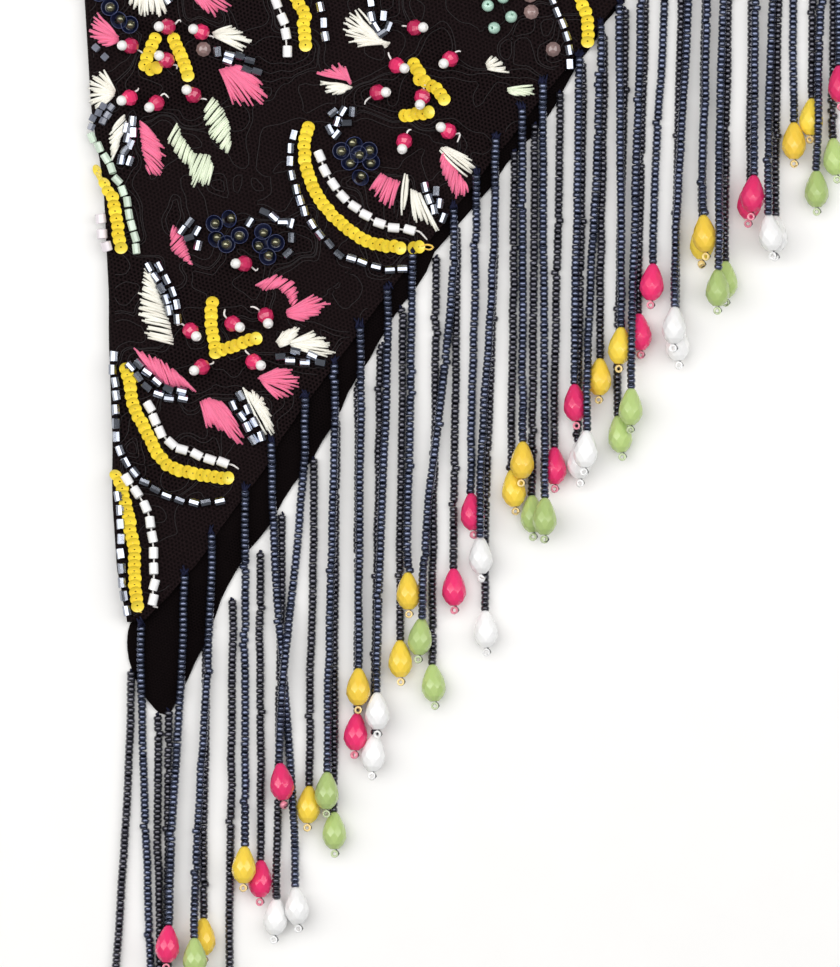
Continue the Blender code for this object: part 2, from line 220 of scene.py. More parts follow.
# Each motif's rows of sequins and tube beads. Columns: kind, places that the row runs through.
ROWS = {
    "left flower": (
        ("yellow", ((156, 39), (150, 52), (145, 65), (151, 71), (156, 68))),
        ("yellow", ((174, 39), (181, 54), (189, 76))),
    ),
    "right flower": (
        ("yellow", ((413, 65), (419, 74))),
        ("yellow", ((418, 79), (428, 84), (437, 90), (444, 100))),
        ("yellow", ((403, 117), (416, 115), (428, 113))),
    ),
    "lower flower": (
        ("yellow", ((212, 302), (212, 320), (213, 338), (216, 353))),
        ("yellow", ((222, 350), (238, 345), (256, 339))),
        ("grey", ((150, 268), (156, 279), (162, 291), (168, 302), (170, 311))),
        ("grey", ((160, 268), (166, 279), (173, 292), (177, 304), (178, 319))),
        ("grey", ((282, 356), (292, 352), (302, 352), (311, 356))),
        ("grey", ((290, 361), (302, 362), (319, 363))),
        ("grey", ((139, 364), (149, 375), (160, 385), (171, 389), (182, 391))),
        ("grey", ((131, 367), (138, 376), (146, 386), (157, 394), (169, 398), (183, 399))),
        ("grey", ((241, 397), (248, 408), (254, 421), (261, 436))),
        ("grey", ((234, 405), (242, 417), (248, 427), (254, 440))),
    ),
    "long arc": (
        ("yellow", (
            (309, 126), (305, 140), (305, 154), (306, 167), (312, 183), (320, 200), (332, 215),
            (345, 228), (360, 238), (378, 245), (400, 248),
        )),
        ("yellow", ((411, 248), (418, 247))),
        ("white", (
            (320, 157), (326, 172), (335, 187), (344, 198), (356, 208), (367, 217), (381, 225),
            (396, 229), (409, 231),
        )),
        ("grey", (
            (293, 137), (290, 152), (291, 168), (295, 187), (302, 204), (309, 220), (318, 232),
            (329, 246), (342, 256), (358, 261), (376, 267), (390, 270), (402, 269),
        )),
    ),
    "side arc": (
        ("yellow", (
            (126, 368), (131, 386), (133, 402), (140, 419), (149, 437), (161, 458), (174, 468),
            (190, 473), (206, 476), (228, 478),
        )),
        ("white", (
            (150, 406), (154, 419), (160, 431), (171, 443), (190, 452), (206, 458), (224, 463),
        )),
        ("grey", (
            (116, 357), (115, 372), (117, 386), (118, 402), (118, 418), (119, 438), (122, 451),
            (128, 463), (138, 476), (153, 488), (168, 496), (184, 501), (202, 503), (220, 501),
        )),
    ),
    "point arc": (
        ("yellow", (
            (119, 475), (123, 492), (128, 512), (132, 532), (135, 556), (135, 582), (138, 605),
        )),
        ("white", (
            (128, 480), (138, 494), (148, 512), (152, 533), (154, 556), (154, 578), (152, 600),
        )),
        ("grey", ((120, 497), (122, 518), (123, 542), (124, 566), (126, 590), (129, 609))),
    ),
    "edge arc": (
        ("yellow", (
            (94, 150), (99, 164), (106, 181), (113, 196), (116, 212), (119, 229), (121, 248),
        )),
        ("mint", (
            (90, 127), (98, 142), (106, 157), (116, 176), (126, 198), (130, 218), (134, 236),
            (136, 250),
        )),
        ("pearl", ((106, 219), (108, 234), (111, 247))),
    ),
    "top arc": (
        ("white", ((268, -26), (275, 0), (283, 18), (286, 36), (287, 52))),
        ("yellow", ((284, -30), (291, -10), (299, 4), (306, 16), (304, 26), (305, 36), (306, 46))),
        ("grey", ((303, -32), (313, -12), (320, 4), (323, 20), (326, 38))),
    ),
    "corner arc": (
        ("grey", ((548, -12), (557, 12), (564, 30), (568, 47), (569, 64))),
        ("yellow", ((571, -30), (577, -12), (581, 2), (586, 18), (586, 30), (587, 42))),
    ),
}

# Tube beads that are sewn one by one. Columns: kind, and for each tube its column, row and turn
# from level in degrees.
LOOSE_TUBES = {
    "left flower": (
        ("grey", (
            (218, 52, 90), (229, 56, -15), (240, 57, -18), (250, 61, -15), (229, 62, -10),
            (246, 70, -18), (257, 72, -20), (133, 122, 85), (127, 128, 75), (133, 133, 80),
            (127, 139, 75), (130, 146, 65), (125, 152, 60), (121, 161, 75), (130, 162, 70),
            (168, 0, -60), (174, -10, -65),
        )),
        ("lavender", (
            (97, 49, -40), (105, 58, -50), (104, 107, 60), (111, 109, 55), (100, 114, 60),
            (108, 116, 60), (96, 119, 60), (104, 122, 60), (95, 127, 70),
        )),
    ),
    "right flower": (
        ("grey", (
            (371, 3, -80), (372, 18, -85), (384, 16, 80), (389, 27, 70), (383, 34, 35),
            (376, 28, -60), (333, 113, 50), (343, 112, 65), (353, 113, 88), (338, 122, 75),
            (347, 124, 0), (330, 130, -65), (337, 135, 45), (425, 188, -70), (429, 199, -70),
            (434, 210, -72), (436, 192, 85), (439, 204, 80), (443, 217, 75),
        )),
    ),
    "lower flower": (
        ("grey", (
            (183, 230, 50), (190, 223, 55), (190, 238, 25), (197, 232, 60), (199, 245, 75),
            (250, 223, 62), (265, 213, -20), (274, 218, -35), (283, 223, 0), (291, 225, 85),
            (292, 238, 80), (288, 254, 45),
        )),
    ),
}

# Leaves in thread. Columns: colour, line where the stitches start, line where they end.
LEAVES = {
    "left flower": (
        ("cream", ((134, -16), (146, -18), (156, -14)),
         ((126, 1), (140, 16), (157, 20), (168, 14))),
        ("pink", ((118, 38), (119, 42)), ((98, 14), (90, 26), (93, 40), (106, 48))),
        ("pink", ((192, -8), (199, -14)), ((196, 2), (209, 15), (219, 18), (230, 8), (230, -4))),
        ("cream", ((213, 34), (216, 38)), ((231, 26), (242, 30), (252, 41), (244, 52))),
        ("pink", ((220, 71), (228, 68), (238, 66)),
         ((235, 109), (250, 105), (270, 103), (264, 86), (246, 70))),
        ("cream", ((116, 92), (114, 97)), ((103, 68), (92, 80), (90, 97), (94, 112))),
        ("cream", ((125, 115), (127, 124), (122, 138), (116, 152)),
         ((111, 131), (110, 143), (110, 152), (112, 162))),
        ("pink", ((140, 122), (140, 136), (143, 152), (147, 166)),
         ((154, 134), (164, 148), (166, 160), (161, 177), (151, 176))),
        ("green", ((214, 98), (224, 110), (230, 126), (231, 143)),
         ((203, 114), (208, 132), (214, 145), (228, 155))),
        ("green", ((178, 124), (183, 138), (195, 154), (209, 155), (214, 166)),
         ((167, 139), (175, 155), (189, 169), (193, 186), (208, 188))),
    ),
    "right flower": (
        ("cream", ((386, 48), (390, 44)), ((356, 6), (343, 14), (345, 28), (348, 40), (354, 48))),
        ("pink", ((351, 85), (350, 80)), ((344, 64), (335, 64), (329, 70), (317, 74))),
        ("cream", ((352, 88), (346, 90)), ((319, 82), (323, 90), (330, 96), (342, 95))),
        ("pink", ((381, 174), (390, 178), (399, 182)),
         ((369, 188), (376, 198), (384, 205), (392, 208))),
        ("cream", ((405, 173), (408, 180)), ((402, 214), (404, 210))),
        ("cream", ((411, 189), (416, 192), (422, 195)),
         ((411, 222), (418, 222), (425, 224), (441, 233))),
        ("pink", ((444, 154), (451, 162), (458, 172), (464, 182)),
         ((440, 164), (442, 173), (447, 186), (452, 197), (462, 199), (470, 195))),
        ("cream", ((440, 150), (446, 147)), ((466, 176), (475, 170), (471, 159))),
        ("cream", ((486, 66), (488, 70)), ((492, 57), (500, 60), (505, 67), (508, 73))),
        ("green", ((507, 89), (509, 93)), ((532, 86), (537, 92), (530, 97), (518, 96))),
    ),
    "lower flower": (
        ("cream", ((174, 344), (171, 325), (163, 303), (154, 279)),
         ((148, 338), (142, 324), (138, 303), (145, 268))),
        ("pink", ((196, 392), (186, 387), (168, 386), (152, 371)),
         ((184, 380), (172, 367), (157, 357), (135, 349))),
        ("pink", ((175, 226), (184, 236), (188, 249), (193, 265)),
         ((171, 236), (171, 247), (174, 256), (188, 263))),
        ("pink", ((256, 286), (265, 291), (277, 288), (286, 296), (291, 306)),
         ((270, 278), (277, 275), (289, 277), (297, 286), (299, 298))),
        ("pink", ((287, 311), (288, 316)),
         ((314, 295), (327, 298), (332, 305), (319, 315), (306, 322))),
        ("cream", ((277, 342), (280, 347)), ((284, 331), (296, 327), (303, 328), (292, 343))),
        ("cream", ((288, 343), (292, 346)), ((314, 331), (327, 339), (336, 348), (331, 358))),
        ("pink", ((259, 378), (263, 382)),
         ((276, 368), (292, 370), (301, 380), (295, 394), (278, 399))),
        ("pink", ((201, 402), (209, 398), (220, 402)),
         ((207, 427), (219, 430), (241, 445), (244, 438), (232, 414))),
        ("cream", ((243, 388), (250, 394), (258, 410)),
         ((270, 442), (274, 436), (272, 418), (264, 399), (252, 388))),
    ),
}

# Raspberry beads with a white seed beside each. Columns: bead, seed.
RASPBERRIES = {
    "left flower": (
        ((168, 28), (159, 28)), ((202, 33), (193, 30)), ((131, 47), (124, 47)),
        ((167, 61), (162, 58)), ((129, 99), (119, 103)), ((157, 104), (151, 108)),
        ((194, 96), (190, 93)),
    ),
    "right flower": (
        ((415, 29), (422, 29)), ((450, 60), (446, 63)), ((397, 67), (404, 70)),
        ((378, 94), (383, 94)), ((422, 98), (420, 105)), ((404, 142), (402, 150)),
        ((448, 132), (444, 130)),
    ),
    "lower flower": (
        ((245, 264), (241, 264)), ((266, 316), (268, 322)), ((233, 324), (241, 328)),
        ((254, 362), (260, 365)), ((191, 331), (194, 334)), ((202, 367), (198, 369)),
    ),
}

# Places of the navy cup sequins, with a gold seed in each.
CUPS = {
    "left flower": ((111, 9), (121, 20), (131, 26), (101, -4)),
    "lower flower": (
        (216, 224), (232, 219), (218, 238), (227, 245), (240, 237), (264, 234), (259, 247),
        (276, 243), (269, 256),
    ),
    "long arc": (
        (353, 143), (370, 151), (342, 152), (360, 156), (351, 164), (371, 164), (362, 176),
    ),
}

# Ends of thread that show beyond a row. Columns: colour, places that the thread runs through.
ROW_TAILS = (
    ("white", ((411, 231), (419, 232), (427, 240))),
    ("yellow", ((420, 247), (427, 245), (433, 247), (430, 250), (424, 249))),
    ("white", ((227, 464), (233, 465), (239, 469))),
    ("white", ((152, 603), (154, 606), (158, 607))),
    ("yellow", ((138, 607), (139, 610), (142, 612))),
)

# Places of the mint beads and of the flat stones.
MINT_BEADS = {
    "right flower": ((488, 7), (511, 18), (494, 29), (503, -1)),
}
STONES = {
    "right flower": ((531, 13), (553, 50), (530, -4)),
    "left flower": ((204, 50),),
}

# The middle of each motif, and where it comes again beyond the photographed view. Columns:
# motif, column and row of its middle, turn in degrees, and whether it is mirrored.
MIDDLES = {
    "left flower": (165, 75), "right flower": (420, 105), "lower flower": (225, 325),
    "long arc": (345, 190), "side arc": (160, 430), "point arc": (135, 540),
    "edge arc": (112, 195), "top arc": (298, 10), "corner arc": (575, 10),
}
REPEATS = (
    ("lower flower", 180, -105, 25, False), ("long arc", 330, -95, 200, False),
    ("left flower", 445, -120, -60, True), ("lower flower", 600, -60, 120, False),
    ("side arc", 110, -225, 10, False), ("right flower", 290, -260, 70, True),
    ("left flower", 480, -300, 140, False), ("long arc", 640, -220, -40, False),
    ("lower flower", 720, -240, 215, True),
    ("left flower", 150, -400, 200, True), ("long arc", 310, -420, 120, True),
    ("lower flower", 430, -480, -30, False), ("side arc", 580, -420, 160, False),
    ("right flower", 680, -430, 10, False), ("left flower", 860, -400, 85, False),
    ("right flower", 170, -590, -20, True), ("left flower", 350, -650, 60, False),
    ("long arc", 490, -620, 30, False), ("lower flower", 620, -640, 170, True),
    ("side arc", 760, -560, -60, False), ("left flower", 840, -640, 250, True),
    ("lower flower", 1010, -600, 40, False),
    ("lower flower", 160, -780, 95, False), ("long arc", 300, -800, -100, False),
    ("right flower", 430, -830, 150, False), ("left flower", 610, -820, 20, True),
    ("side arc", 740, -760, 90, True), ("lower flower", 840, -830, -70, False),
    ("right flower", 1020, -790, 200, True), ("left flower", 1180, -820, 130, False),
    ("side arc", 110, -900, -30, False), ("left flower", 240, -920, 45, False),
    ("lower flower", 570, -960, 15, True), ("left flower", 740, -970, -90, False),
    ("long arc", 900, -950, 150, False), ("lower flower", 1060, -970, 60, True),
    ("left flower", 1280, -990, -15, False),
)
CLOTH_MARGIN = 0.0015
FOLD_OVERHANG = 0.0003

# Sizes of the small things. A pair gives a width, then a length or depth.
DROP_SEED = (0.0020, 0.0014)
SEED_FALL = 0.0049
CUP = (0.0043, 0.0012)
CUP_HOLE = 0.0003
CUP_LIFT = 0.0003
GOLD_SEED_WIDTH = 0.0023
GOLD_SEED_LIFT = 0.0011
# Profile of the lighter blue ring laid on a cup's rim, a painted highlight of the rim. Rows: radius, height.
RIM_HIGHLIGHT_PROFILE = ((0.00205, 0.0011), (0.00222, 0.0012), (0.00212, 0.00135))
BERRY_WIDTH = 0.0042
BERRY_LIFT = 0.0019
BERRY_LEAN = 0.95
WHITE_SEED_WIDTH = 0.0027
WHITE_SEED_REACH = 0.0025
MINT_WIDTH = 0.0031
MINT_LIFT = 0.0014
STONE_WIDTH = 0.0038
SEQUIN_DEPTHS = (0.00042, 0.00030)
SEQUIN_HOLE = 0.00022
SEQUIN_LIFT = 0.00072
SEQUIN_WALL = 0.00012

# Widths and heights of the loose threads.
LOOP_THREAD = (0.0003, 0.00025)
KNOT_THREAD = (0.00050, 0.00036)
ROW_THREAD = (0.0005, 0.0004)
TAIL_THREAD = (0.00055, 0.00045)
THREAD_STEP = 0.0005
THREAD_LIFT = 0.00015

# The thread beside a bead. Columns: length of each part, and how far its end strays.
TAIL_PARTS = ((0.0016, 0.0005), (0.0013, 0.0007), (0.0004, 0.0009))

# Threads that tie a strand on: spread of their low and high ends, reach of the high ends, and
# how far they rise and sink.
KNOT_LOW = (0.0006, 0.0002)
KNOT_HIGH = (0.0007, 0.0006)
KNOT_REACH = 0.0019
KNOT_RISE = 0.0009
KNOT_SINK = 0.0016

# Rows of sequins and tube beads, and stitches.
TUBE_KINDS = ("white", "grey", "lavender", "mint", "pearl")
SEQUIN_PITCH = 0.00178
SEQUIN_TILT = 0.46
STITCH_SPACING = 0.00056
STITCH_WIDTH = 0.00072
TUFT = 3
TUFTED = 0.34
STITCH_STRAY = 0.00012
STITCH_RISE = 0.0007

# The raised cord of the lace: grid on which its routes are found, levels of their field, and
# the field's bends and parts. Columns of these: width of one wave, seed.
CORD_STEP = 0.0009
CORD_STEP_BEYOND = 0.0021
CORD_LEVELS = (-0.42, -0.06, 0.03, 0.26, 0.60)
CORD_MARGIN = 0.0010
CORD_BENDS = ((0.005, 41), (0.005, 42))
CORD_BEND = 0.0016
CORD_FIELDS = ((0.0115, 43), (0.0055, 44))
CORD_DETAIL = 0.45

# Floor, lights and camera. Places of lights are seen from the middle of the view.
FLOOR_SIZE = 6.0
FLOOR_HEIGHT = -0.00005
STRIP_PLACE = (-0.25, 0.22, 1.15)
STRIP_SIZE = (4.8, 0.8)
STRIP_POWER = 36.0
FILL_PLACE = (-0.65, 0.35, 1.5)
FILL_SIZE = (1.5, 1.5)
FILL_POWER = 5.0
WORLD_STRENGTH = 0.15
CAMERA_SENSOR = 24.0
CAMERA_HEIGHT = 2.0


def leaning(angle):
    """Unit direction that leans this far to the right of straight up the cloth."""
    return np.array((math.sin(angle), math.cos(angle)))


def outward(angle):
    """Unit direction to the right of an edge that leans this far."""
    return np.array((math.cos(angle), -math.sin(angle)))


def fold_point(distance):
    """Outer line of the fold, this far up from its foot."""
    return FOOT + distance * leaning(-FOLD_LEAN)


def upper_hem(distance):
    """Edge of the upper layer, this far up from the foot of the fold."""
    return FOOT + (HEM_START, 0.0) + distance * leaning(HEM_LEAN)


def fold_length():
    """Length at which a line square to the fold reaches the far end of the upper hem."""
    return float((upper_hem(HEM_LENGTH) - FOOT) @ leaning(-FOLD_LEAN))


def lower_far_end():
    """Far end of the lower hem, beyond the upper one by the margin."""
    return upper_hem(HEM_LENGTH) + LOWER_MARGIN * outward(HEM_LEAN)


def tongue_arc(steps=7):
    """Points round the tongue, from its left edge to the lower hem."""
    edge, hem = leaning(-TONGUE_LEAN), leaning(POINT_HEM_LEAN)
    apart = np.array(TONGUE_HEM) - TONGUE_TOP
    reach = np.linalg.solve(np.column_stack((-edge, hem)), apart)
    corner = FOOT + TONGUE_TOP - reach[0] * edge
    half = (TONGUE_LEAN + POINT_HEM_LEAN) / 2
    middle = corner + TONGUE_RADIUS / math.sin(half) * leaning(POINT_HEM_LEAN - half)
    turns = np.linspace(math.pi + TONGUE_LEAN, 2 * math.pi - POINT_HEM_LEAN, steps)
    return [middle + TONGUE_RADIUS * np.array((math.cos(a), math.sin(a))) for a in turns]


def lower_hem_path():
    """The lower hem as points, from the tongue's left edge round its point to the far end."""
    start = FOOT + TONGUE_TOP + TONGUE_SIDE * -leaning(-TONGUE_LEAN)
    bend = FOOT + TONGUE_HEM + POINT_HEM_LENGTH * leaning(POINT_HEM_LEAN)
    far = lower_far_end()
    before = bend - BEND_EASE * leaning(POINT_HEM_LEAN)
    after = bend + BEND_EASE * (far - bend) / np.linalg.norm(far - bend)
    rounding = [
        (1 - t) ** 2 * before + 2 * t * (1 - t) * bend + t**2 * after
        for t in np.linspace(0, 1, 6)
    ]
    return np.array([start, *tongue_arc(), *rounding, far])


def upper_hem_path():
    """The upper hem as points."""
    return np.array([upper_hem(0.0), upper_hem(HEM_LENGTH)])


def distances(path):
    """Distance along a path at each of its points."""
    return np.concatenate(((0.0,), np.cumsum(np.linalg.norm(np.diff(path, axis=0), axis=1))))


def along(path, distance):
    """Point and unit direction at a distance along a path of points."""
    at = distances(path)
    k = int(np.clip(np.searchsorted(at, distance) - 1, 0, len(path) - 2))
    direction = (path[k + 1] - path[k]) / (at[k + 1] - at[k])
    return path[k] + (distance - at[k]) * direction, direction


def offset_path(path, distance):
    """The path moved sideways, to the right of the way it runs."""
    directions = np.gradient(path, axis=0)
    directions /= np.linalg.norm(directions, axis=1)[:, None]
    return path + distance * np.column_stack((directions[:, 1], -directions[:, 0]))


def resampled(path, parts):
    """Places at these shares of a path's length."""
    at = distances(path)
    return np.column_stack([np.interp(parts * at[-1], at, column) for column in path.T])


def smooth_line(points, step):
    """Places and unit directions at even steps along a smooth curve through the points."""
    points = np.asarray(points, float)
    ends = np.vstack((2 * points[0] - points[1], points, 2 * points[-1] - points[-2]))
    t = np.linspace(0, 1, 12, endpoint=False)[:, None]
    runs = []
    for a, b, c, d in zip(ends, ends[1:], ends[2:], ends[3:]):
        bend = (2 * a - 5 * b + 4 * c - d) * t**2 + (3 * b - a - 3 * c + d) * t**3
        runs.append((2 * b + (c - a) * t + bend) / 2)
    line = np.vstack((*runs, points[-1:]))
    at = distances(line)
    count = max(int(round(at[-1] / step)), 1)
    places = resampled(line, np.linspace(0, 1, count + 1))
    directions = np.gradient(places, axis=0)
    return places, directions / np.linalg.norm(directions, axis=1)[:, None]


def eased(share):
    """A share from 0 to 1 that starts and ends gently."""
    return share**2 * (3 - 2 * share)


def drift(table, distance):
    """Smooth value of a drift table, in metres, at a distance in metres."""
    at, out = MILLIMETRE * np.array(table, float).T
    k = np.clip(np.searchsorted(at, distance) - 1, 0, len(at) - 2)
    t = np.clip((distance - at[k]) / (at[k + 1] - at[k]), 0, 1)
    return out[k] + (out[k + 1] - out[k]) * eased(t)


def soft_noise(points, cell, seed):
    """Smooth random field from -1 to 1 over plan points, with features of about this size."""
    lattice = np.random.default_rng(seed).uniform(-1, 1, (97, 97))
    at = points / cell
    corner = np.floor(at).astype(int)
    t = at - corner
    t = t * t * t * (t * (6 * t - 15) + 10)
    i, j = corner[..., 0] % 97, corner[..., 1] % 97
    k, m = (i + 1) % 97, (j + 1) % 97
    low = lattice[i, j] * (1 - t[..., 0]) + lattice[k, j] * t[..., 0]
    high = lattice[i, m] * (1 - t[..., 0]) + lattice[k, m] * t[..., 0]
    return low * (1 - t[..., 1]) + high * t[..., 1]


def waves(points, height, width, seed):
    """Smooth random heights at plan points."""
    return height * soft_noise(points, width, seed)


def ripple(points):
    """Height of the cloth's creases and slight unevenness at plan points."""
    height = sum(waves(points, *row) for row in UPPER_WAVES)
    for row in CREASES:
        x0, y0, x1, y1, width, rise = MILLIMETRE * np.array(row)
        start, run = FOOT + (x0, y0), np.array((x1 - x0, y1 - y0))
        part = np.clip((points - start) @ run / (run @ run), 0, 1)
        away = np.linalg.norm(points - start - part[..., None] * run, axis=-1)
        height = height + rise * np.exp(-((away / width) ** 2)) * (0.6 + 0.4 * np.cos(5 * part))
    return height


def fold_distance(points):
    """Distance of plan points to the right of the fold's wandering edge, and up the fold."""
    from_foot = points - FOOT
    up = from_foot @ leaning(-FOLD_LEAN)
    return from_foot @ outward(-FOLD_LEAN) + drift(FOLD_DRIFT, up), up


def hem_distance(points):
    """Distance of plan points inside the upper hem's wandering edge."""
    from_start = points - upper_hem(0.0)
    up = from_start @ leaning(HEM_LEAN)
    return drift(HEM_DRIFT, up) - from_start @ outward(HEM_LEAN)


def roll_share(up):
    """Share of the roll's full height, this far up the fold. It lies lowest at the foot."""
    part = np.clip(up / FOOT_EASE, 0, 1)
    least = (UPPER_TOP - HEM_SINK) / (2 * ROLL_RADIUS)
    return least + (1 - least) * np.sqrt(part * (2 - part))


def upper_height(points):
    """Height of the upper layer's face at plan points."""
    off, up = fold_distance(points)
    share = roll_share(up)
    inward = np.clip(off, 0, ROLL_RADIUS)
    roll = share * (ROLL_RADIUS + np.sqrt(ROLL_RADIUS**2 - (ROLL_RADIUS - inward) ** 2))
    fall = np.exp(-(((np.maximum(off, ROLL_RADIUS) - ROLL_RADIUS) / ROLL_FALL) ** 2))
    flat = UPPER_TOP + (2 * share * ROLL_RADIUS - UPPER_TOP) * fall
    sink = HEM_SINK * np.exp(-((np.maximum(hem_distance(points), 0) / HEM_EASE) ** 2))
    calm = np.clip((off - ROLL_RADIUS) / CALM_WIDTH, 0, 1)
    return np.where(off < ROLL_RADIUS, roll, flat) + calm * (ripple(points) - sink)


def on_upper(points, lift=0.0):
    """Plan points raised to the upper layer's face, and the face's normals there."""
    step = 0.0004
    height = upper_height(points)
    slope_x = (upper_height(points + (step, 0)) - upper_height(points - (step, 0))) / (2 * step)
    slope_y = (upper_height(points + (0, step)) - upper_height(points - (0, step))) / (2 * step)
    normals = np.dstack((-slope_x, -slope_y, np.full(height.shape, 0.9))).reshape(*points.shape[:-1], 3)
    normals = normals / np.linalg.norm(normals, axis=-1, keepdims=True)
    raised = np.concatenate((points, height[..., None]), axis=-1) + lift * normals
    return raised, normals


def inside_upper(points, margin):
    """Whether plan points lie on the upper layer, this far from its edges."""
    off, up = fold_distance(points)
    return (off > margin) & (hem_distance(points) > margin) & (up < fold_length() - margin)


def turned(profile, sides, twist=0.0):
    """Points and triangles of a closed profile turned about z. Rows: radius, height.

    The profile runs up the outside and down the inside. A radius of zero is a pole.
    """
    count = len(profile)
    turns = 2 * math.pi * (np.arange(sides)[None] + twist * np.arange(count)[:, None]) / sides
    radii, heights = np.array(profile, float).T
    points = np.dstack(
        (radii[:, None] * np.cos(turns), radii[:, None] * np.sin(turns),
         np.repeat(heights[:, None], sides, axis=1))
    ).reshape(-1, 3)
    a = np.arange(count * sides).reshape(count, sides)
    a[radii == 0] = a[radii == 0][:, :1]
    b, c = np.roll(a, -1, axis=1), np.roll(a, -1, axis=0)
    d = np.roll(b, -1, axis=0)
    if radii[0] == 0:
        a, b, c, d = a[:-1], b[:-1], c[:-1], d[:-1]
    faces = np.vstack((np.dstack((a, b, c)).reshape(-1, 3), np.dstack((b, d, c)).reshape(-1, 3)))
    whole = (faces[:, 0] != faces[:, 1]) & (faces[:, 1] != faces[:, 2]) & (faces[:, 0] != faces[:, 2])
    used, index = np.unique(faces[whole], return_inverse=True)
    return points[used], index.reshape(-1, 3)


def axes_of(main, up):
    """Frames whose z axis is the main direction and whose x axis points towards up."""
    z = main / np.linalg.norm(main, axis=-1, keepdims=True)
    y = np.cross(z, up)
    y = y / np.linalg.norm(y, axis=-1, keepdims=True)
    return np.stack((np.cross(y, z), y, z), axis=-1)


UP = np.array((0.0, 0.0, 1.0))
UP_THE_VIEW = np.array((0.0, 1.0, 0.0))

# Cross-sections of a laid thread, in half widths and heights.
FINE_THREAD = ((-1, 0), (1, 0), (0.6, 1), (-0.6, 1))
COARSE_THREAD = ((-1, 0), (1, 0), (0, 1))


class Heap:
    """Many small things that become one mesh, each with a tone of its own."""

    def __init__(self, seed):
        self.random = np.random.default_rng(seed)
        self.points, self.faces, self.tones, self.count = [], [], [], 0

    def add(self, points, faces):
        """Adds copies of the same faces. Points: one block for each copy."""
        copies, each = points.shape[:2]
        shift = self.count + each * np.arange(copies)[:, None, None]
        self.points.append(points.reshape(-1, 3))
        self.faces.append((faces[None] + shift).reshape(-1, 3))
        self.tones.append(np.repeat(self.random.uniform(0, 1, copies), each))
        self.count += copies * each

    def put(self, shape, places, axes, scale=1.0):
        """Adds one shape at many places."""
        points, faces = shape
        scale = np.broadcast_to(np.asarray(scale, float), (len(places), 3))
        turned_points = np.einsum("nij,kj,nj->nki", axes, points, scale)
        self.add(places[:, None] + turned_points, faces)

    def thread(self, paths, normals, width, height, ring=FINE_THREAD, tails=0.7):
        """Adds laid threads. Paths: one row of points for each thread."""
        runs = np.gradient(paths, axis=1)
        runs /= np.linalg.norm(runs, axis=2, keepdims=True)
        side = np.cross(normals, runs)
        side /= np.linalg.norm(side, axis=2, keepdims=True)
        count = paths.shape[1]
        swell = tails + (1 - tails) * np.sin(math.pi * np.linspace(0, 1, count))
        wide = 0.5 * width * swell[None, :, None]
        tall = height * swell[None, :, None]
        rings = np.stack([paths + s * wide * side + t * tall * normals for s, t in ring], axis=2)
        sides = len(ring)
        a = np.arange(count * sides).reshape(count, sides)
        b, c = np.roll(a, -1, axis=1)[:-1], a[1:]
        d = np.roll(a, -1, axis=1)[1:]
        a = a[:-1]
        walls = np.vstack((np.dstack((a, b, d)).reshape(-1, 3), np.dstack((a, d, c)).reshape(-1, 3)))
        first = [(0, k + 1, k) for k in range(1, sides - 1)]
        last = [tuple((count - 1) * sides + k for k in (0, j, j + 1)) for j in range(1, sides - 1)]
        self.add(rings.reshape(len(paths), -1, 3), np.vstack((walls, first, last)))

    def piece(self, name, finish, crease=180, slot="seed_beads"):
        """Makes the object, sharp where it bends by more than the crease, and lets it ride."""
        points, faces, tones = map(np.concatenate, (self.points, self.faces, self.tones))
        mesh = smooth_mesh(name, points, faces, "tone", tones)
        if crease < 180:
            mesh.set_sharp_from_angle(angle=math.radians(crease))
        mesh.update()
        return settle_piece(bpy.data.objects.new(name, mesh), finish)


def smooth_mesh(name, points, faces, attribute, values):
    """A smooth mesh with a value at each point that its finish reads."""
    mesh = bpy.data.meshes.new(name)
    mesh.from_pydata(points, [], faces)
    mesh.shade_smooth()
    layer = mesh.attributes.new(attribute, "FLOAT", "POINT")
    layer.data.foreach_set("value", values.astype(np.float32))
    return mesh


def settle_piece(item, finish):
    """Links an object with its material and lets it ride on the cloth."""
    item.data.materials.append(finish)
    bpy.context.scene.collection.objects.link(item)
    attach(item, "root")
    return item


# The lower layer's surface.


@functools.lru_cache(maxsize=None)
def lower_edge():
    """The lower hem's wandering edge as points, from the tongue round its point to the far end."""
    line = resampled(lower_hem_path(), np.linspace(0, 1, 150))
    return offset_path(line, drift(LOWER_DRIFT, distances(line))[:, None])


@functools.lru_cache(maxsize=None)
def lower_outline():
    """Closed outline of the lower layer, once round to the left of the way it runs."""
    seam = (ROLL_RADIUS + GAP) * outward(-FOLD_LEAN)
    square = LOWER_MARGIN * leaning(-FOLD_LEAN)
    foot, top = fold_point(-GAP) + seam, fold_point(fold_length()) + seam
    hem = lower_edge()[2:-1]
    far = lower_far_end()
    return np.array([foot, FOOT + TONGUE_TOP, *hem, far, far + square, top + square, foot])


def path_distance(points, path):
    """Distance of plan points from a path, positive to the left of the way it runs."""
    best = np.full(points.shape[:-1], 9.0)
    side = np.ones(points.shape[:-1])
    for start, end in zip(path, path[1:]):
        run = end - start
        part = np.clip((points - start) @ run / (run @ run), 0, 1)
        offset = points - start - part[..., None] * run
        apart = np.linalg.norm(offset, axis=-1)
        nearer = apart < best
        turn = run[0] * offset[..., 1] - run[1] * offset[..., 0]
        best = np.where(nearer, apart, best)
        side = np.where(nearer, np.sign(turn), side)
    return best * side


def lower_height(points):
    """Height of the lower layer's upward side at plan points."""
    inside = np.maximum(path_distance(points, lower_outline()), 0)
    droop = (LOWER_WALL - LOWER_EDGE) * np.exp(-((inside / LOWER_DROOP) ** 2))
    calm = np.clip(inside / LOWER_CALM, 0, 1)
    return LOWER_WALL - droop + calm * (waves(points, *LOWER_WAVES) - LOWER_WAVES[0])


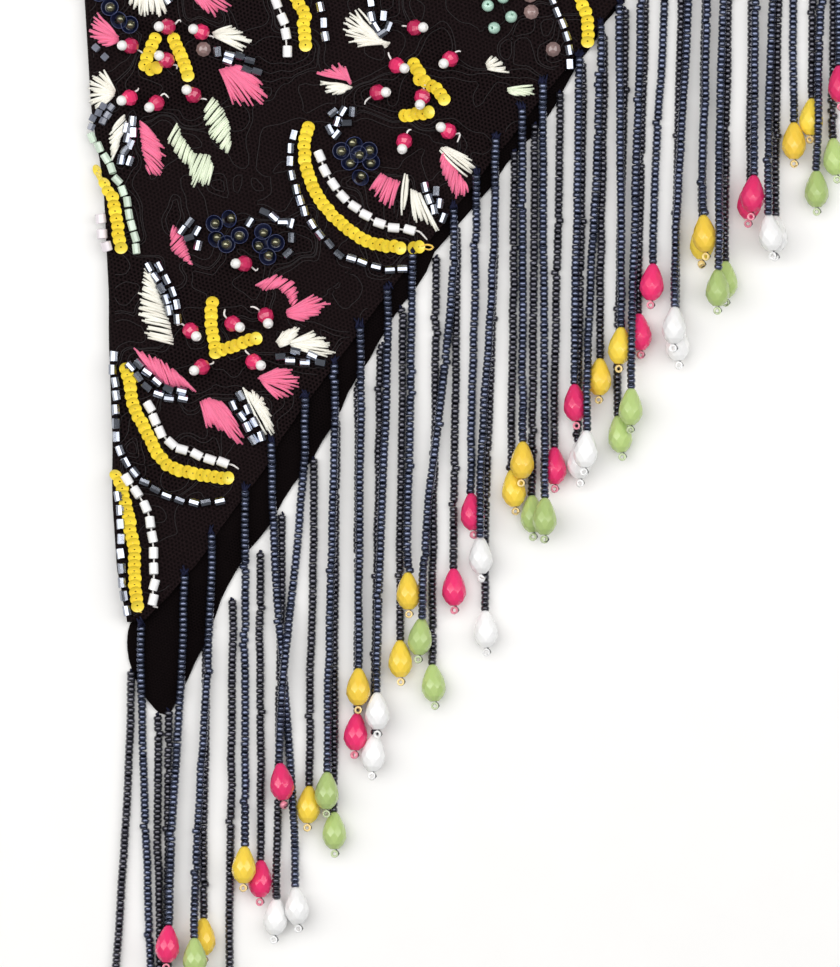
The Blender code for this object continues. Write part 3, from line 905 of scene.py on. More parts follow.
def ground_height(points):
    """Height of the floor or the cloth under the strands."""
    off, _ = fold_distance(points)
    on_cloth = (hem_distance(points) > 0) & (off > 0)
    on_lower = path_distance(points, lower_outline()) > 0
    return np.where(on_cloth, upper_height(points), np.where(on_lower, lower_height(points), 0.0))


# How the strands lie. The plan and the swing of each strand are worked out as for the solids.


def strand_rows(seen, hem_length):
    """The seen strands and, beyond them, the ones that the photograph doesn't reach."""
    rows = list(seen)
    count = int((hem_length / MILLIMETRE - HEM_END_MARGIN - seen[-1][0]) / HIDDEN_PITCH)
    after_short = seen[-1][2] < sum(HIDDEN_LENGTHS) / 2
    for k in range(count):
        sway = HIDDEN_SWAYS[k % len(HIDDEN_SWAYS)]
        length = HIDDEN_LENGTHS[(k + after_short) % len(HIDDEN_LENGTHS)]
        inside = HIDDEN_STARTS[k % len(HIDDEN_STARTS)] if seen is UPPER_STRANDS else 0
        rows.append((seen[-1][0] + (k + 1) * HIDDEN_PITCH, sway, length, inside))
    return [tuple(MILLIMETRE * value for value in row) for row in rows]


def strand_line(root, sway, length, drops):
    """Places down a strand, close together, swaying to one side and passing beside drops."""
    count = int(round(length / LAID_STEP))
    parts = np.linspace(0, 1, count + 1)
    line = np.column_stack((root[0] + sway * eased(parts), root[1] - length * parts))
    for drop in drops:
        k = int(np.argmin(abs(line[:, 1] - drop[1])))
        aside = line[k, 0] - drop[0]
        if abs(line[k, 1] - drop[1]) < LAID_STEP and abs(aside) < DROP_BERTH:
            reach = np.clip(abs(line[:, 1] - drop[1]) / DROP_EASE, 0, 1)
            push = math.copysign(DROP_BERTH - abs(aside), aside)
            line[:, 0] += push * (1 - eased(reach)) * np.minimum(8 * parts, 1)
    return line


def clear_heights(places, radius, balls, ground, clearance):
    """Lowest heights at which balls here clear the ground and the balls laid before."""
    reach = radius + balls[:, 3] + clearance
    apart = np.hypot(balls[:, 0] - places[:, :1], balls[:, 1] - places[:, 1:2])
    lift = np.sqrt(np.maximum(reach**2 - apart**2, 0))
    above = np.where(apart < reach, balls[:, 2] + lift, 0)
    return np.maximum(ground + radius + clearance, above.max(axis=1, initial=0))


class Pile:
    """Balls that are already laid down, and the ground under them."""

    def __init__(self):
        self.edge = np.zeros((0, 2))
        self.balls = np.zeros((0, 4))
        self.drops = []

    def rests(self, places, radius):
        """Heights at which balls rest on the plain solids' ground and the balls laid before."""
        ground = np.zeros(len(places))
        if len(self.edge):
            edge = np.interp(places[:, 1], self.edge[:, 1], self.edge[:, 0], left=-1.0)
            ground[places[:, 0] < edge + radius] = LOWER_WALL + GAP
        return clear_heights(places, radius, self.near(places), ground, CLEARANCE)

    def near(self, places):
        """The balls that could touch balls at these places."""
        low, high = places.min(axis=0) - NEARBY, places.max(axis=0) + NEARBY
        at = self.balls[:, :2]
        return self.balls[np.all((at > low) & (at < high), axis=1)]


def lie(pile, root, root_height, sway, length):
    """How a strand and its drop would lie in the solids: line, knots, heights and drop."""
    line = strand_line(root, sway, length, pile.drops)
    needed = pile.rests(line, SEED_RADIUS)
    knots = np.round(np.linspace(0, len(line) - 1, STRAND_KNOTS)).astype(int)
    heights = [
        needed[knots[max(i - 1, 0)] : knots[min(i + 1, len(knots) - 1)] + 1].max()
        for i in range(len(knots))
    ]
    heights[0] = max(root_height, heights[0])
    level = np.interp(np.arange(len(line)), knots, heights)
    places = [line[-1] - (0.0, at) for at, _ in DROP_PROFILE]
    rests = [pile.rests(p[None], radius)[0] for p, (_, radius) in zip(places, DROP_PROFILE)]
    rises = [max(rests[0], (heights[-1] + max(rests)) / 2)] + [max(rests)] * (len(rests) - 1)
    drop = [(*p, rise, radius) for p, rise, (_, radius) in zip(places, rises, DROP_PROFILE)]
    laid = np.column_stack((line, level, np.full(len(line), SEED_RADIUS)))
    return laid, max(heights), np.array(drop)


def plan_strand(pile, root, root_height, sway, length):
    """Lays one strand in the solids' pile, its end swung to where it lies lowest."""
    options = [lie(pile, root, root_height, sway + swing, length) for swing in SWINGS]
    costs = [
        top + drop[:, 2].max() + 0.5 * abs(swing)
        for swing, (_, top, drop) in zip(SWINGS, options)
    ]
    laid, _, drop = options[int(np.argmin(costs))]
    fine = np.linspace(0, len(drop) - 1, 13)
    dense = np.column_stack([np.interp(fine, range(len(drop)), column) for column in drop.T])
    pile.balls = np.vstack((pile.balls, laid, dense))
    pile.drops.append(drop[DROP_BELLY, :2])
    return laid[:, :2]


Strand = collections.namedtuple("Strand", "hem seen colour beads runs drop axis")


def string_beads(line, inside, random):
    """Plan places of the beads on a strand, from its first bead to its last."""
    line = np.vstack((line[0] + (0.0, max(inside, 0.0)), line)) if inside > 0 else line
    line = np.vstack((line, line[-1] + (line[-1] - line[-2])))
    at = distances(line)
    first = max(-inside, 0.0) + BEAD_PITCH / 2
    last = at[-2] + DROP_GAP - 0.35 * BEAD_PITCH
    count = int(round((last - first) / BEAD_PITCH)) + 1
    steps = np.linspace(first, last, count) + random.uniform(-BEAD_JITTER, BEAD_JITTER, count)
    places = np.column_stack([np.interp(steps, at, column) for column in line.T])
    slow = np.interp(np.arange(count) / 5, np.arange(count), random.normal(0, 1, count))
    zigzag = np.where(np.arange(count) % 2, 1, -1) * random.uniform(0, 1, count)
    stray = np.where(random.uniform(0, 1, count) < STRAY_SHARE, random.choice((-1, 1), count), 0)
    places[:, 0] += BEAD_WANDER * slow + BEAD_JITTER * zigzag + BEAD_STRAY * stray
    return places


def rest_strand(balls, line, inside, radius, random):
    """Where the beads and the drop of one strand come to rest on what is under them."""
    places = string_beads(line, inside, random)
    turn = math.radians(random.uniform(-DROP_SWING, DROP_SWING))
    down = np.array((math.sin(turn), -math.cos(turn)))
    belly = line[-1] + (DROP_GAP + DROP_TOP) * down
    stations = np.array([belly + at * down for at, _ in DROP_STATIONS])
    low = np.minimum(places.min(axis=0), stations.min(axis=0)) - CLOSE_BY
    high = np.maximum(places.max(axis=0), stations.max(axis=0)) + CLOSE_BY
    close = balls[np.all((balls[:, :2] > low) & (balls[:, :2] < high), axis=1)]
    rests = [
        clear_heights(p[None], r, close, ground_height(p[None]), HAIR)[0]
        for p, (_, r) in zip(stations, DROP_STATIONS)
    ]
    rise = max(rests)
    needed = clear_heights(places, radius, close, ground_height(places), HAIR)
    needed[-1] = max(needed[-1], rise - DROP_TOP * math.sin(DROP_PITCH))
    at = distances(places)
    heights = (needed[None] - STRAND_SLOPE * abs(at[:, None] - at[None])).max(axis=1)
    beads = np.column_stack((places, heights))
    axis = -np.array((*(math.cos(DROP_PITCH) * down), math.sin(DROP_PITCH)))
    drop = np.array((*belly, rise))
    runs = np.gradient(beads, axis=0)
    runs /= np.linalg.norm(runs, axis=1)[:, None]
    solid = [(*(drop - at * axis), r) for at, r in DROP_STATIONS]
    laid = np.vstack((np.column_stack((beads, np.full(len(beads), radius))), solid))
    return beads, runs, drop, axis, np.vstack((balls, laid))


def lowest_rest(balls, lines, inside, radius, random):
    """How a strand comes to rest on the first of these lines on which it lies low enough."""
    best, least = None, 1.0
    for line in lines:
        option = rest_strand(balls, line, inside, radius, random)
        top = max(option[0][:, 2].max() + radius, option[2][2] + DROP_STATIONS[1][1])
        if top < least:
            best, least = option, top
        if top < SEEN_TOP:
            break
    return best


@functools.lru_cache(maxsize=None)
def fringe():
    """Every strand of both hems, as it lies."""
    radius = bpy.context.scene.bandana_fringe.bead_width / 2
    random = np.random.default_rng(31)
    pile, balls, strands = Pile(), np.zeros((0, 4)), []
    lower, upper = lower_hem_path(), upper_hem_path()
    edge = offset_path(lower[len(tongue_arc()) // 2 + 1 :], GAP + STRIP_WIDTH)
    hems = (
        ("lower", lower, LOWER_STRANDS, LOWER_DROPS, SEED_RADIUS + CLEARANCE),
        ("upper", upper, UPPER_STRANDS, UPPER_DROPS, UPPER_TOP - STRIP_WALL + SEED_RADIUS),
    )
    for hem, path, seen, colours, root_height in hems:
        for k, (at, sway, length, inside) in enumerate(strand_rows(seen, distances(path)[-1])):
            place, direction = along(path, at)
            root = place + (GAP + STRIP_WIDTH / 2) * np.array((direction[1], -direction[0]))
            line = plan_strand(pile, root, root_height, sway, length)
            lines = [line]
            if k < len(seen):
                lines = [strand_line(root, sway + swing, length, ()) for swing in SEEN_SWINGS]
            *rest, balls = lowest_rest(balls, lines, inside, radius, random)
            letter = colours[k] if k < len(colours) else colours[(k - len(colours)) % 4 - 4]
            strands.append(Strand(hem, k < len(seen), DROP_COLOURS[letter], *rest))
        pile.edge = edge[np.argsort(edge[:, 1])]
    return strands


# Sizes and colours that a user would change.


def colour_setting(name, description, default):
    """A colour in the sidebar."""
    return bpy.props.FloatVectorProperty(
        name=name, description=description, subtype="COLOR", min=0, max=1, default=default,
    )


class LaceSettings(bpy.types.PropertyGroup):
    """The two layers of lace."""

    net_colour: colour_setting("Net", "Colour of the lace's threads", (0.0155, 0.0090, 0.0098))
    hole_colour: colour_setting("Holes", "Colour between the lace's threads", (0.0012, 0.0006, 0.0007))
    cord_colour: colour_setting(
        "Cord", "Colour of the cord that outlines the lace", (0.026, 0.022, 0.0235)
    )
    cord_width: bpy.props.FloatProperty(
        name="Cord width", description="Width of the outlining cord", unit="LENGTH",
        default=0.00031, min=0.0002, max=0.001,
    )
    wall: bpy.props.FloatProperty(
        name="Lace thickness", description="Thickness of one layer of lace", unit="LENGTH",
        default=0.0005, min=0.0002, max=0.001,
    )


class FringeSettings(bpy.types.PropertyGroup):
    """The beaded strands and their drops."""

    bead_width: bpy.props.FloatProperty(
        name="Bead width", description="Outer width of a seed bead", unit="LENGTH",
        default=0.00218, min=0.001, max=0.003,
    )
    navy_beads: colour_setting(
        "Navy beads", "Colour of the upper strands' metallic beads", (0.082, 0.099, 0.165)
    )
    black_beads: colour_setting(
        "Black beads", "Colour of the lower strands' metallic beads", (0.060, 0.060, 0.080)
    )
    yellow: colour_setting("Yellow drops", "Colour of the yellow drops", (1.0, 0.66, 0.075))
    raspberry: colour_setting("Raspberry drops", "Colour of the raspberry drops", (0.84, 0.038, 0.172))
    green: colour_setting("Green drops", "Colour of the green drops", (0.46, 0.60, 0.22))
    milk: colour_setting("Milk drops", "Colour of the milk white drops", (0.985, 0.985, 0.985))


class EmbroiderySettings(bpy.types.PropertyGroup):
    """The sequins, beads and threads on the cloth."""

    sequin_width: bpy.props.FloatProperty(
        name="Sequin width", description="Width of a yellow sequin", unit="LENGTH",
        default=0.0033, min=0.002, max=0.006,
    )
    sequin_colour: colour_setting("Sequins", "Colour of the yellow sequins", (0.99, 0.76, 0.062))
    cup_colour: colour_setting("Cups", "Colour of the navy cup sequins", (0.004, 0.0065, 0.030))
    tube_colour: colour_setting(
        "Grey tubes", "Colour of the mirror grey tube beads", (0.42, 0.45, 0.52)
    )
    raspberry: colour_setting(
        "Raspberry beads", "Colour of the round raspberry beads", (0.72, 0.032, 0.135)
    )
    pink: colour_setting("Pink thread", "Colour of the pink leaves", (0.90, 0.170, 0.320))
    cream: colour_setting("Cream thread", "Colour of the cream leaves", (0.98, 0.93, 0.81))
    green: colour_setting("Green thread", "Colour of the green leaves", (0.82, 0.92, 0.69))


# Finishes.


def add_node(tree, kind, inputs=None, **settings):
    """Adds a shader node. Inputs: values or other nodes' outputs, by socket."""
    node = tree.nodes.new(kind)
    for name, value in settings.items():
        setattr(node, name, value)
    for socket, value in (inputs or {}).items():
        if isinstance(value, bpy.types.NodeSocket):
            tree.links.new(value, node.inputs[socket])
        else:
            node.inputs[socket].default_value = value
    return node


def plain_finish(name, colour, roughness, **sockets):
    """A Principled material. Sockets are named with _ for a space."""
    made = bpy.data.materials.new(name)
    made.use_nodes = True
    shader = made.node_tree.nodes["Principled BSDF"]
    shader.inputs["Base Color"].default_value = (*colour, 1)
    shader.inputs["Roughness"].default_value = roughness
    for socket, value in sockets.items():
        shader.inputs[socket.replace("_", " ")].default_value = value
    return made


def worked_out(tree, operation, *values):
    """Result of one calculation on values or other nodes' outputs."""
    return add_node(tree, "ShaderNodeMath", dict(enumerate(values)), operation=operation).outputs[0]


def dress_shader(tree, colour, height, strength, distance):
    """Gives the material's shader a colour and a relief."""
    shader = tree.nodes["Principled BSDF"]
    tree.links.new(colour, shader.inputs["Base Color"])
    settings = {"Height": height, "Strength": strength, "Distance": distance}
    relief = add_node(tree, "ShaderNodeBump", settings)
    tree.links.new(relief.outputs["Normal"], shader.inputs["Normal"])


def object_place(tree):
    """Places in the object's own metres."""
    return add_node(tree, "ShaderNodeTexCoord").outputs["Object"]


def tinted(tree, factor, dark, light):
    """Colour between two others by a factor."""
    mix = add_node(tree, "ShaderNodeMix", {0: factor, 6: (*dark, 1), 7: (*light, 1)}, data_type="RGBA")
    return mix.outputs[2]


def varied_finish(name, colour, roughness, spread, grain, bump, **sockets):
    """A material whose pieces differ in tone, with a fine uneven surface."""
    made = plain_finish(name, colour, roughness, **sockets)
    tree = made.node_tree
    tone = add_node(tree, "ShaderNodeAttribute", attribute_name="tone").outputs["Fac"]
    dark = [channel * (1 - spread) for channel in colour]
    light = [min(channel * (1 + 0.6 * spread), 1.0) for channel in colour]
    noise = add_node(tree, "ShaderNodeTexNoise", {"Vector": object_place(tree), "Scale": grain})
    blend = worked_out(tree, "MULTIPLY", tone, 0.65)
    factor = worked_out(tree, "MULTIPLY_ADD", noise.outputs["Fac"], 0.35, blend)
    dress_shader(tree, tinted(tree, factor, dark, light), noise.outputs["Fac"], 1.0, bump)
    return made


def hexagonal_field(tree, place, pitch):
    """Shader value that peaks at the holes of a hexagonal net with this pitch."""
    wave = 4 * math.pi / (math.sqrt(3) * pitch)
    total = None
    for turn in np.radians((10, 130, 250)):
        along_wave = (wave * math.cos(turn), wave * math.sin(turn), 0.0)
        phase = add_node(tree, "ShaderNodeVectorMath", {0: place, 1: along_wave}, operation="DOT_PRODUCT")
        height = worked_out(tree, "COSINE", phase.outputs["Value"])
        total = height if total is None else worked_out(tree, "ADD", total, height)
    return total


def mapped(tree, value, low, high, start, end):
    """Value eased from one range to another."""
    ranges = {"Value": value, "From Min": low, "From Max": high, "To Min": start, "To Max": end}
    return add_node(tree, "ShaderNodeMapRange", ranges, interpolation_type="SMOOTHSTEP").outputs[0]


def lace_finish(name, tone, pitch, least_holes):
    """Black net of small round holes, closed where the lace has its figures."""
    lace = bpy.context.scene.bandana_lace
    net_colour = [tone * channel for channel in lace.net_colour]
    made = plain_finish(name, net_colour, 0.9, Specular_IOR_Level=0.05)
    tree = made.node_tree
    place = object_place(tree)
    stray = add_node(tree, "ShaderNodeTexNoise", {"Vector": place, "Scale": 260.0, "Detail": 1.0})
    shifted = add_node(
        tree, "ShaderNodeVectorMath", {0: stray.outputs["Color"], 1: (0.0009, 0.0009, 0.0), 2: place},
        operation="MULTIPLY_ADD",
    ).outputs[0]
    net = hexagonal_field(tree, shifted, pitch)
    figure = add_node(tree, "ShaderNodeAttribute", attribute_name="figure").outputs["Fac"]
    openness = mapped(tree, figure, -0.12, 0.02, least_holes, 1.0)
    hole = mapped(tree, net, -0.4, 1.6, 0.0, 1.0)
    opened = worked_out(tree, "MULTIPLY", hole, openness)
    fibre = add_node(tree, "ShaderNodeTexNoise", {"Vector": place, "Scale": 3600.0, "Detail": 3.0})
    light = mapped(tree, fibre.outputs["Fac"], 0.3, 0.7, 0.45, 1.0)
    shade = worked_out(tree, "MULTIPLY", worked_out(tree, "SUBTRACT", 1.0, opened), light)
    dress_shader(tree, tinted(tree, shade, lace.hole_colour, net_colour), shade, 0.8, 0.00020)
    return made


def thread_finish(name, colour):
    """Embroidery thread: soft sheen and fine twisted fibres."""
    return varied_finish(
        name, colour, 0.55, 0.20, 2600.0, 0.00012, Sheen_Weight=0.25, Sheen_Roughness=0.4
    )


# Where the drawing lies, and its repeats.


def cell_places(cells):
    """Plan places of cells of the drawing."""
    cells = np.asarray(cells, float)
    return FOOT + CELL * (cells - FOOT_CELL) * (1, -1)


def in_view(places):
    """Whether plan places are within the photographed view or close to it."""
    low, high = cell_places((VIEW_MARGIN, VIEW_CELLS[1])), cell_places((VIEW_CELLS[0], -VIEW_MARGIN))
    return (places[..., 0] < high[0]) & (places[..., 1] < high[1]) & (places[..., 0] > low[0] - 1)


def placings(motif):
    """Ways that a motif is placed: whether it is hidden, and a function from cells to places."""
    yield False, cell_places
    for name, column, row, turn, mirrored in REPEATS:
        if name == motif:
            angle = math.radians(turn)
            spin = np.array(((math.cos(angle), -math.sin(angle)), (math.sin(angle), math.cos(angle))))
            flip = np.array((-1 if mirrored else 1, 1))
            middle, centre = np.array(MIDDLES[motif]), np.array((column, row))
            yield True, functools.partial(spread_cells, middle, centre, spin, flip)


def spread_cells(middle, centre, spin, flip, cells):
    """Plan places of a motif's cells, moved to another centre, turned and mirrored."""
    moved = (np.asarray(cells, float) - middle) * flip
    return cell_places(centre + moved @ spin.T)


def by_motif(table):
    """Each row of a table with its motif, in the table's order."""
    for motif, rows in table.items():
        for row in rows:
            yield motif, row


def kept(places, hidden):
    """Which places lie on the cloth, and for a repeat also outside the photographed view."""
    keep = inside_upper(places, CLOTH_MARGIN if hidden else -FOLD_OVERHANG)
    return keep & ~in_view(places) if hidden else keep


# Small shapes, in metres.


def ring_bead(width, length, sides):
    """A seed bead about its hole."""
    radius, half = width / 2, length / 2
    profile = (
        (0.84 * radius, -half), (radius, -0.45 * half), (radius, 0.45 * half),
        (0.84 * radius, half), (0.42 * radius, 0.0),
    )
    return turned(profile, sides)


def plain_ring(width, length, sides):
    """A seed bead about its hole, in fewer faces."""
    radius, half = width / 2, length / 2
    return turned(((radius, -0.7 * half), (radius, 0.7 * half), (0.40 * radius, 0.0)), sides)


def tube_bead(width, length, sides, bevel=0.12):
    """A tube bead about its hole."""
    radius, half = width / 2, length / 2
    inner, edge = 0.45 * radius, (1 - bevel) * radius
    profile = (
        (edge, -half), (radius, -half + bevel * radius), (radius, half - bevel * radius),
        (edge, half), (inner, 0.94 * half), (inner, -0.94 * half),
    )
    return turned(profile, sides)


def plain_tube(width, length, sides):
    """A tube bead about its hole, in fewer faces."""
    radius, half = width / 2, length / 2
    return turned(((radius, -half), (radius, half), (0.5 * radius, half), (0.5 * radius, -half)), sides)


def round_bead(width, sides=12, rows=7):
    """A round bead about its hole."""
    radius = width / 2
    turns = np.linspace(-1.25, 1.25, rows)
    outside = [(radius * math.cos(a), radius * math.sin(a)) for a in turns]
    hole = 0.22 * radius
    return turned([*outside, (hole, 0.86 * radius), (hole, -0.86 * radius)], sides)


def cup_sequin(width, depth, hole, sides):
    """A cupped sequin that opens upwards."""
    radius, wall = width / 2, SEQUIN_WALL
    floor = (0.62 * radius, 0.15 * depth)
    profile = (
        (hole, -wall), (floor[0], floor[1] - wall), (radius, depth - wall), (radius, depth),
        floor, (hole, 0.0),
    )
    return turned(profile, sides)


def plain_sequin(width, depth, sides):
    """A cupped sequin that opens upwards, in fewer faces."""
    radius, wall, hole = width / 2, SEQUIN_WALL, CUP_HOLE
    return turned(((hole, -wall), (radius, depth - wall), (radius, depth), (hole, 0.0)), sides)


def faceted_drop(sides):
    """A faceted drop about its hole, its widest place at zero and its top at DROP_TOP."""
    profile = (
        (0.0, -0.0038), (0.0011, -0.0037), (0.0023, -0.0026), (0.0030, -0.0010),
        (0.00308, 0.0003), (0.0026, 0.0021), (0.0019, 0.0037), (0.0012, 0.0050),
        (0.0007, DROP_TOP - 0.0001), (0.0, DROP_TOP),
    )
    return turned(profile, sides, twist=0.5)


def flat_stone(width, sides=9):
    """A flat faceted stone."""
    radius = width / 2
    profile = ((0.0, 0.0), (radius, 0.20 * radius), (0.55 * radius, 0.70 * radius), (0.0, 0.86 * radius))
    return turned(profile, sides, twist=0.5)


# Cloth.


def cloth_shell(name, rows, wall, finish):
    """A thin shell of cloth through equal rows of points."""
    rows = np.asarray(rows)
    count, width = rows.shape[:2]
    a = np.arange(count * width).reshape(count, width)
    faces = np.stack((a[:-1, :-1], a[:-1, 1:], a[1:, 1:], a[1:, :-1]), axis=-1).reshape(-1, 4)
    points = rows.reshape(-1, 3)
    mesh = smooth_mesh(name, points, faces, "figure", cord_field(points[:, :2]))
    cloth = bpy.data.objects.new(name, mesh)
    shell = cloth.modifiers.new("wall", "SOLIDIFY")
    shell.thickness = wall
    shell.offset = -1
    return settle_piece(cloth, finish)


def cloth_parts(across):
    """Shares across the cloth, closer together at its edges."""
    parts = np.linspace(0, 1, across + 1)
    return 0.35 * parts + 0.65 * eased(parts)


def upper_rows(count=130, across=80):
    """Rows of points over the upper layer, from under the roll of the fold out to the hem."""
    turns = np.linspace(-math.pi / 2, -3 * math.pi / 2, 13)
    roll = ROLL_RADIUS * (1 + np.column_stack((np.cos(turns), np.sin(turns))))
    spread = cloth_parts(across)[1:]
    rows = []
    for part in np.linspace(0, 1, count) ** 1.25:
        up, out = part * fold_length(), part * HEM_LENGTH
        start = fold_point(up) - drift(FOLD_DRIFT, up) * outward(-FOLD_LEAN)
        end = upper_hem(out) + drift(HEM_DRIFT, out) * outward(HEM_LEAN)
        end = end + waves(end, *UPPER_FRAY) * outward(HEM_LEAN)
        width = np.linalg.norm(end - start)
        direction = (end - start) / width
        run = ROLL_RADIUS + (width - ROLL_RADIUS) * spread
        plan = start + np.concatenate((roll[:, 0], run))[:, None] * direction
        heights = np.concatenate((roll_share(up) * roll[:, 1], upper_height(plan[len(roll):])))
        rows.append(np.column_stack((plan, heights)))
    return rows


def lower_rows(count=96, across=48):
    """Rows of points over the lower layer, from the tip of the tongue up to the long edge."""
    outline = lower_outline()
    left = np.vstack((cell_places(TONGUE_LEFT), outline[0], outline[-2]))
    tongue, edge = cell_places(TONGUE_RIGHT), lower_edge()
    right = np.vstack((tongue, edge[edge[:, 1] > tongue[-1, 1] + 0.004], outline[-3]))
    right = resampled(right, np.linspace(0, 1, 700))
    right = offset_path(right, waves(right, *LOWER_FRAY)[:, None])
    spread = cloth_parts(across)
    rows = []
    for part in 0.0015 + 0.9985 * np.linspace(0, 1, count) ** 1.6:
        start, end = resampled(left, np.array((part,)))[0], resampled(right, np.array((part,)))[0]
        plan = start + spread[:, None] * (end - start)
        rows.append(np.column_stack((plan, lower_height(plan))))
    return rows


class BANDANA_OT_lace(bpy.types.Operator):
    """Makes the two layers of lace as thin shells with soft creases and a rolled fold"""

    bl_idname = "bandana.lace"
    bl_label = "Lace"

    def execute(self, context):
        wall = context.scene.bandana_lace.wall
        corded = lace_finish("corded_lace", tone=1.0, pitch=0.00105, least_holes=0.75)
        # The lower layer is the same lace at about a third of the upper's tone: partly its plainer wrong
        # side, partly painted shade.
        plain = lace_finish("plain_lace", tone=0.36, pitch=0.00080, least_holes=0.6)
        upper = cloth_shell("upper_lace", upper_rows(), wall, corded)
        lower = cloth_shell("lower_lace", lower_rows(), wall, plain)
        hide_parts("upper_layer")
        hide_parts("lower_layer")
        return {"FINISHED"}


def cord_field(places):
    """Field whose level lines are the routes of the lace's outlining cord."""
    warp = np.stack([soft_noise(places, *row) for row in CORD_BENDS], axis=-1)
    broad, fine = [soft_noise(places + CORD_BEND * warp, *row) for row in CORD_FIELDS]
    return broad + CORD_DETAIL * fine


def crossings(field, keep, axis):
    """Grid edges along one axis that a level line crosses, and how far along it does."""
    near = np.take(field, range(field.shape[axis] - 1), axis)
    far = np.take(field, range(1, field.shape[axis]), axis)
    both = np.take(keep, range(field.shape[axis] - 1), axis)
    both = both & np.take(keep, range(1, field.shape[axis]), axis)
    crossed = both & ((near > 0) != (far > 0))
    return crossed, near[crossed] / (near[crossed] - far[crossed])


def level_cords(heap, field, keep, raised, normals, radius):
    """Adds a three-sided cord along each level line of a field over a grid of raised places."""
    slopes = np.dstack(np.gradient(field, axis=(0, 1)))
    joined = np.concatenate((raised, slopes, normals), axis=2)
    numbers, found, total = [], [], 0
    for axis in (0, 1):
        crossed, part = crossings(field, keep, axis)
        near = np.take(joined, range(field.shape[axis] - 1), axis)[crossed]
        far = np.take(joined, range(1, field.shape[axis]), axis)[crossed]
        found.append(near + part[:, None] * (far - near))
        number = np.full(crossed.shape, -1)
        number[crossed] = total + np.arange(len(part))
        numbers.append(number)
        total += len(part)
    found = np.vstack(found)
    edges = np.stack((numbers[1][:-1], numbers[0][:, 1:], numbers[1][1:], numbers[0][:, :-1]), axis=-1)
    edges = edges.reshape(-1, 4)
    simple = edges[(edges >= 0).sum(axis=1) == 2]
    double = edges[(edges >= 0).all(axis=1)]
    pairs = np.vstack((np.sort(simple, axis=1)[:, 2:], double[:, (0, 3)], double[:, (1, 2)]))
    centres = found[:, :3]
    side = np.column_stack((found[:, 3:5], np.zeros(total)))
    side /= np.linalg.norm(side, axis=1, keepdims=True) + 1e-12
    up = found[:, 5:] / np.linalg.norm(found[:, 5:], axis=1, keepdims=True)
    onward = np.cross(side, up)
    back = np.einsum("ij,ij->i", centres[pairs[:, 1]] - centres[pairs[:, 0]], onward[pairs[:, 0]]) < 0
    pairs[back] = pairs[back][:, ::-1]
    turns = np.radians((90, 210, 330))
    rings = centres[:, None] + radius * (
        np.cos(turns)[:, None] * side[:, None] + np.sin(turns)[:, None] * up[:, None]
    )
    walls = []
    for k in range(3):
        a, b = 3 * pairs + k, 3 * pairs + (k + 1) % 3
        walls.append(np.column_stack((a[:, 0], b[:, 0], a[:, 1])))
        walls.append(np.column_stack((b[:, 0], b[:, 1], a[:, 1])))
    starts = np.setdiff1d(pairs[:, 0], pairs[:, 1])
    ends = np.setdiff1d(pairs[:, 1], pairs[:, 0])
    walls.append(3 * starts[:, None] + (0, 2, 1))
    walls.append(3 * ends[:, None] + (0, 1, 2))
    used, index = np.unique(np.vstack(walls), return_inverse=True)
    heap.add(rings.reshape(-1, 3)[used][None], index.reshape(-1, 3))


class BANDANA_OT_cords(bpy.types.Operator):
    """Lays the raised cord that outlines the lace's pattern"""

    bl_idname = "bandana.cords"
    bl_label = "Lace cord"

    def execute(self, context):
        width = context.scene.bandana_lace.cord_width
        low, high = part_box("upper_layer")
        heap = Heap(45)
        for beyond, step, levels in (
            (False, CORD_STEP, CORD_LEVELS), (True, CORD_STEP_BEYOND, CORD_LEVELS[1::2]),
        ):
            steps = [np.arange(a, b, step) for a, b in zip(low.xy, high.xy)]
            places = np.stack(np.meshgrid(*steps, indexing="ij"), axis=-1)
            keep = inside_upper(places, CORD_MARGIN) & (in_view(places) != beyond)
            field = cord_field(places)
            raised, normals = on_upper(places, 0.15 * width)
            for level in levels:
                level_cords(heap, field - level, keep, raised, normals, width / 2)
        heap.piece("lace_cord", varied_finish(
            "lace_cord", context.scene.bandana_lace.cord_colour, 0.7, 0.3, 1800.0, 0.0001,
            Specular_IOR_Level=0.2,
        ), slot="lace")
        return {"FINISHED"}


# Fringe.


class BANDANA_OT_strands(bpy.types.Operator):
    """Strings the seed beads of every strand"""

    bl_idname = "bandana.strands"
    bl_label = "Beaded strands"

    def execute(self, context):
        settings = context.scene.bandana_fringe
        random = np.random.default_rng(51)
        for hem, name, colour in (
            ("upper", "navy_beads", settings.navy_beads), ("lower", "black_beads", settings.black_beads),
        ):
            finish = varied_finish(
                name, colour, 0.24, 0.45, 900.0, 0.00002, Metallic=0.76, Coat_Weight=0.6, Coat_Roughness=0.12,
            )
            for seen, bead in (
                (True, ring_bead(settings.bead_width, BEAD_LENGTH, 8)),
                (False, plain_ring(settings.bead_width, BEAD_LENGTH, 6)),
            ):
                heap = Heap(52)
                for strand in fringe():
                    if (strand.hem, strand.seen) == (hem, seen):
                        tilt = random.normal(0, 0.10, (len(strand.beads), 3))
                        axes = axes_of(strand.runs + tilt, UP)
                        scale = random.uniform((0.94, 0.94, 0.92), (1.0, 1.0, 1.05), tilt.shape)
                        heap.put(bead, strand.beads, axes, scale)
                piece = heap.piece(f"{hem}_strands_{'near' if seen else 'far'}", finish)
                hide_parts(f"{hem}_fringe")
        return {"FINISHED"}


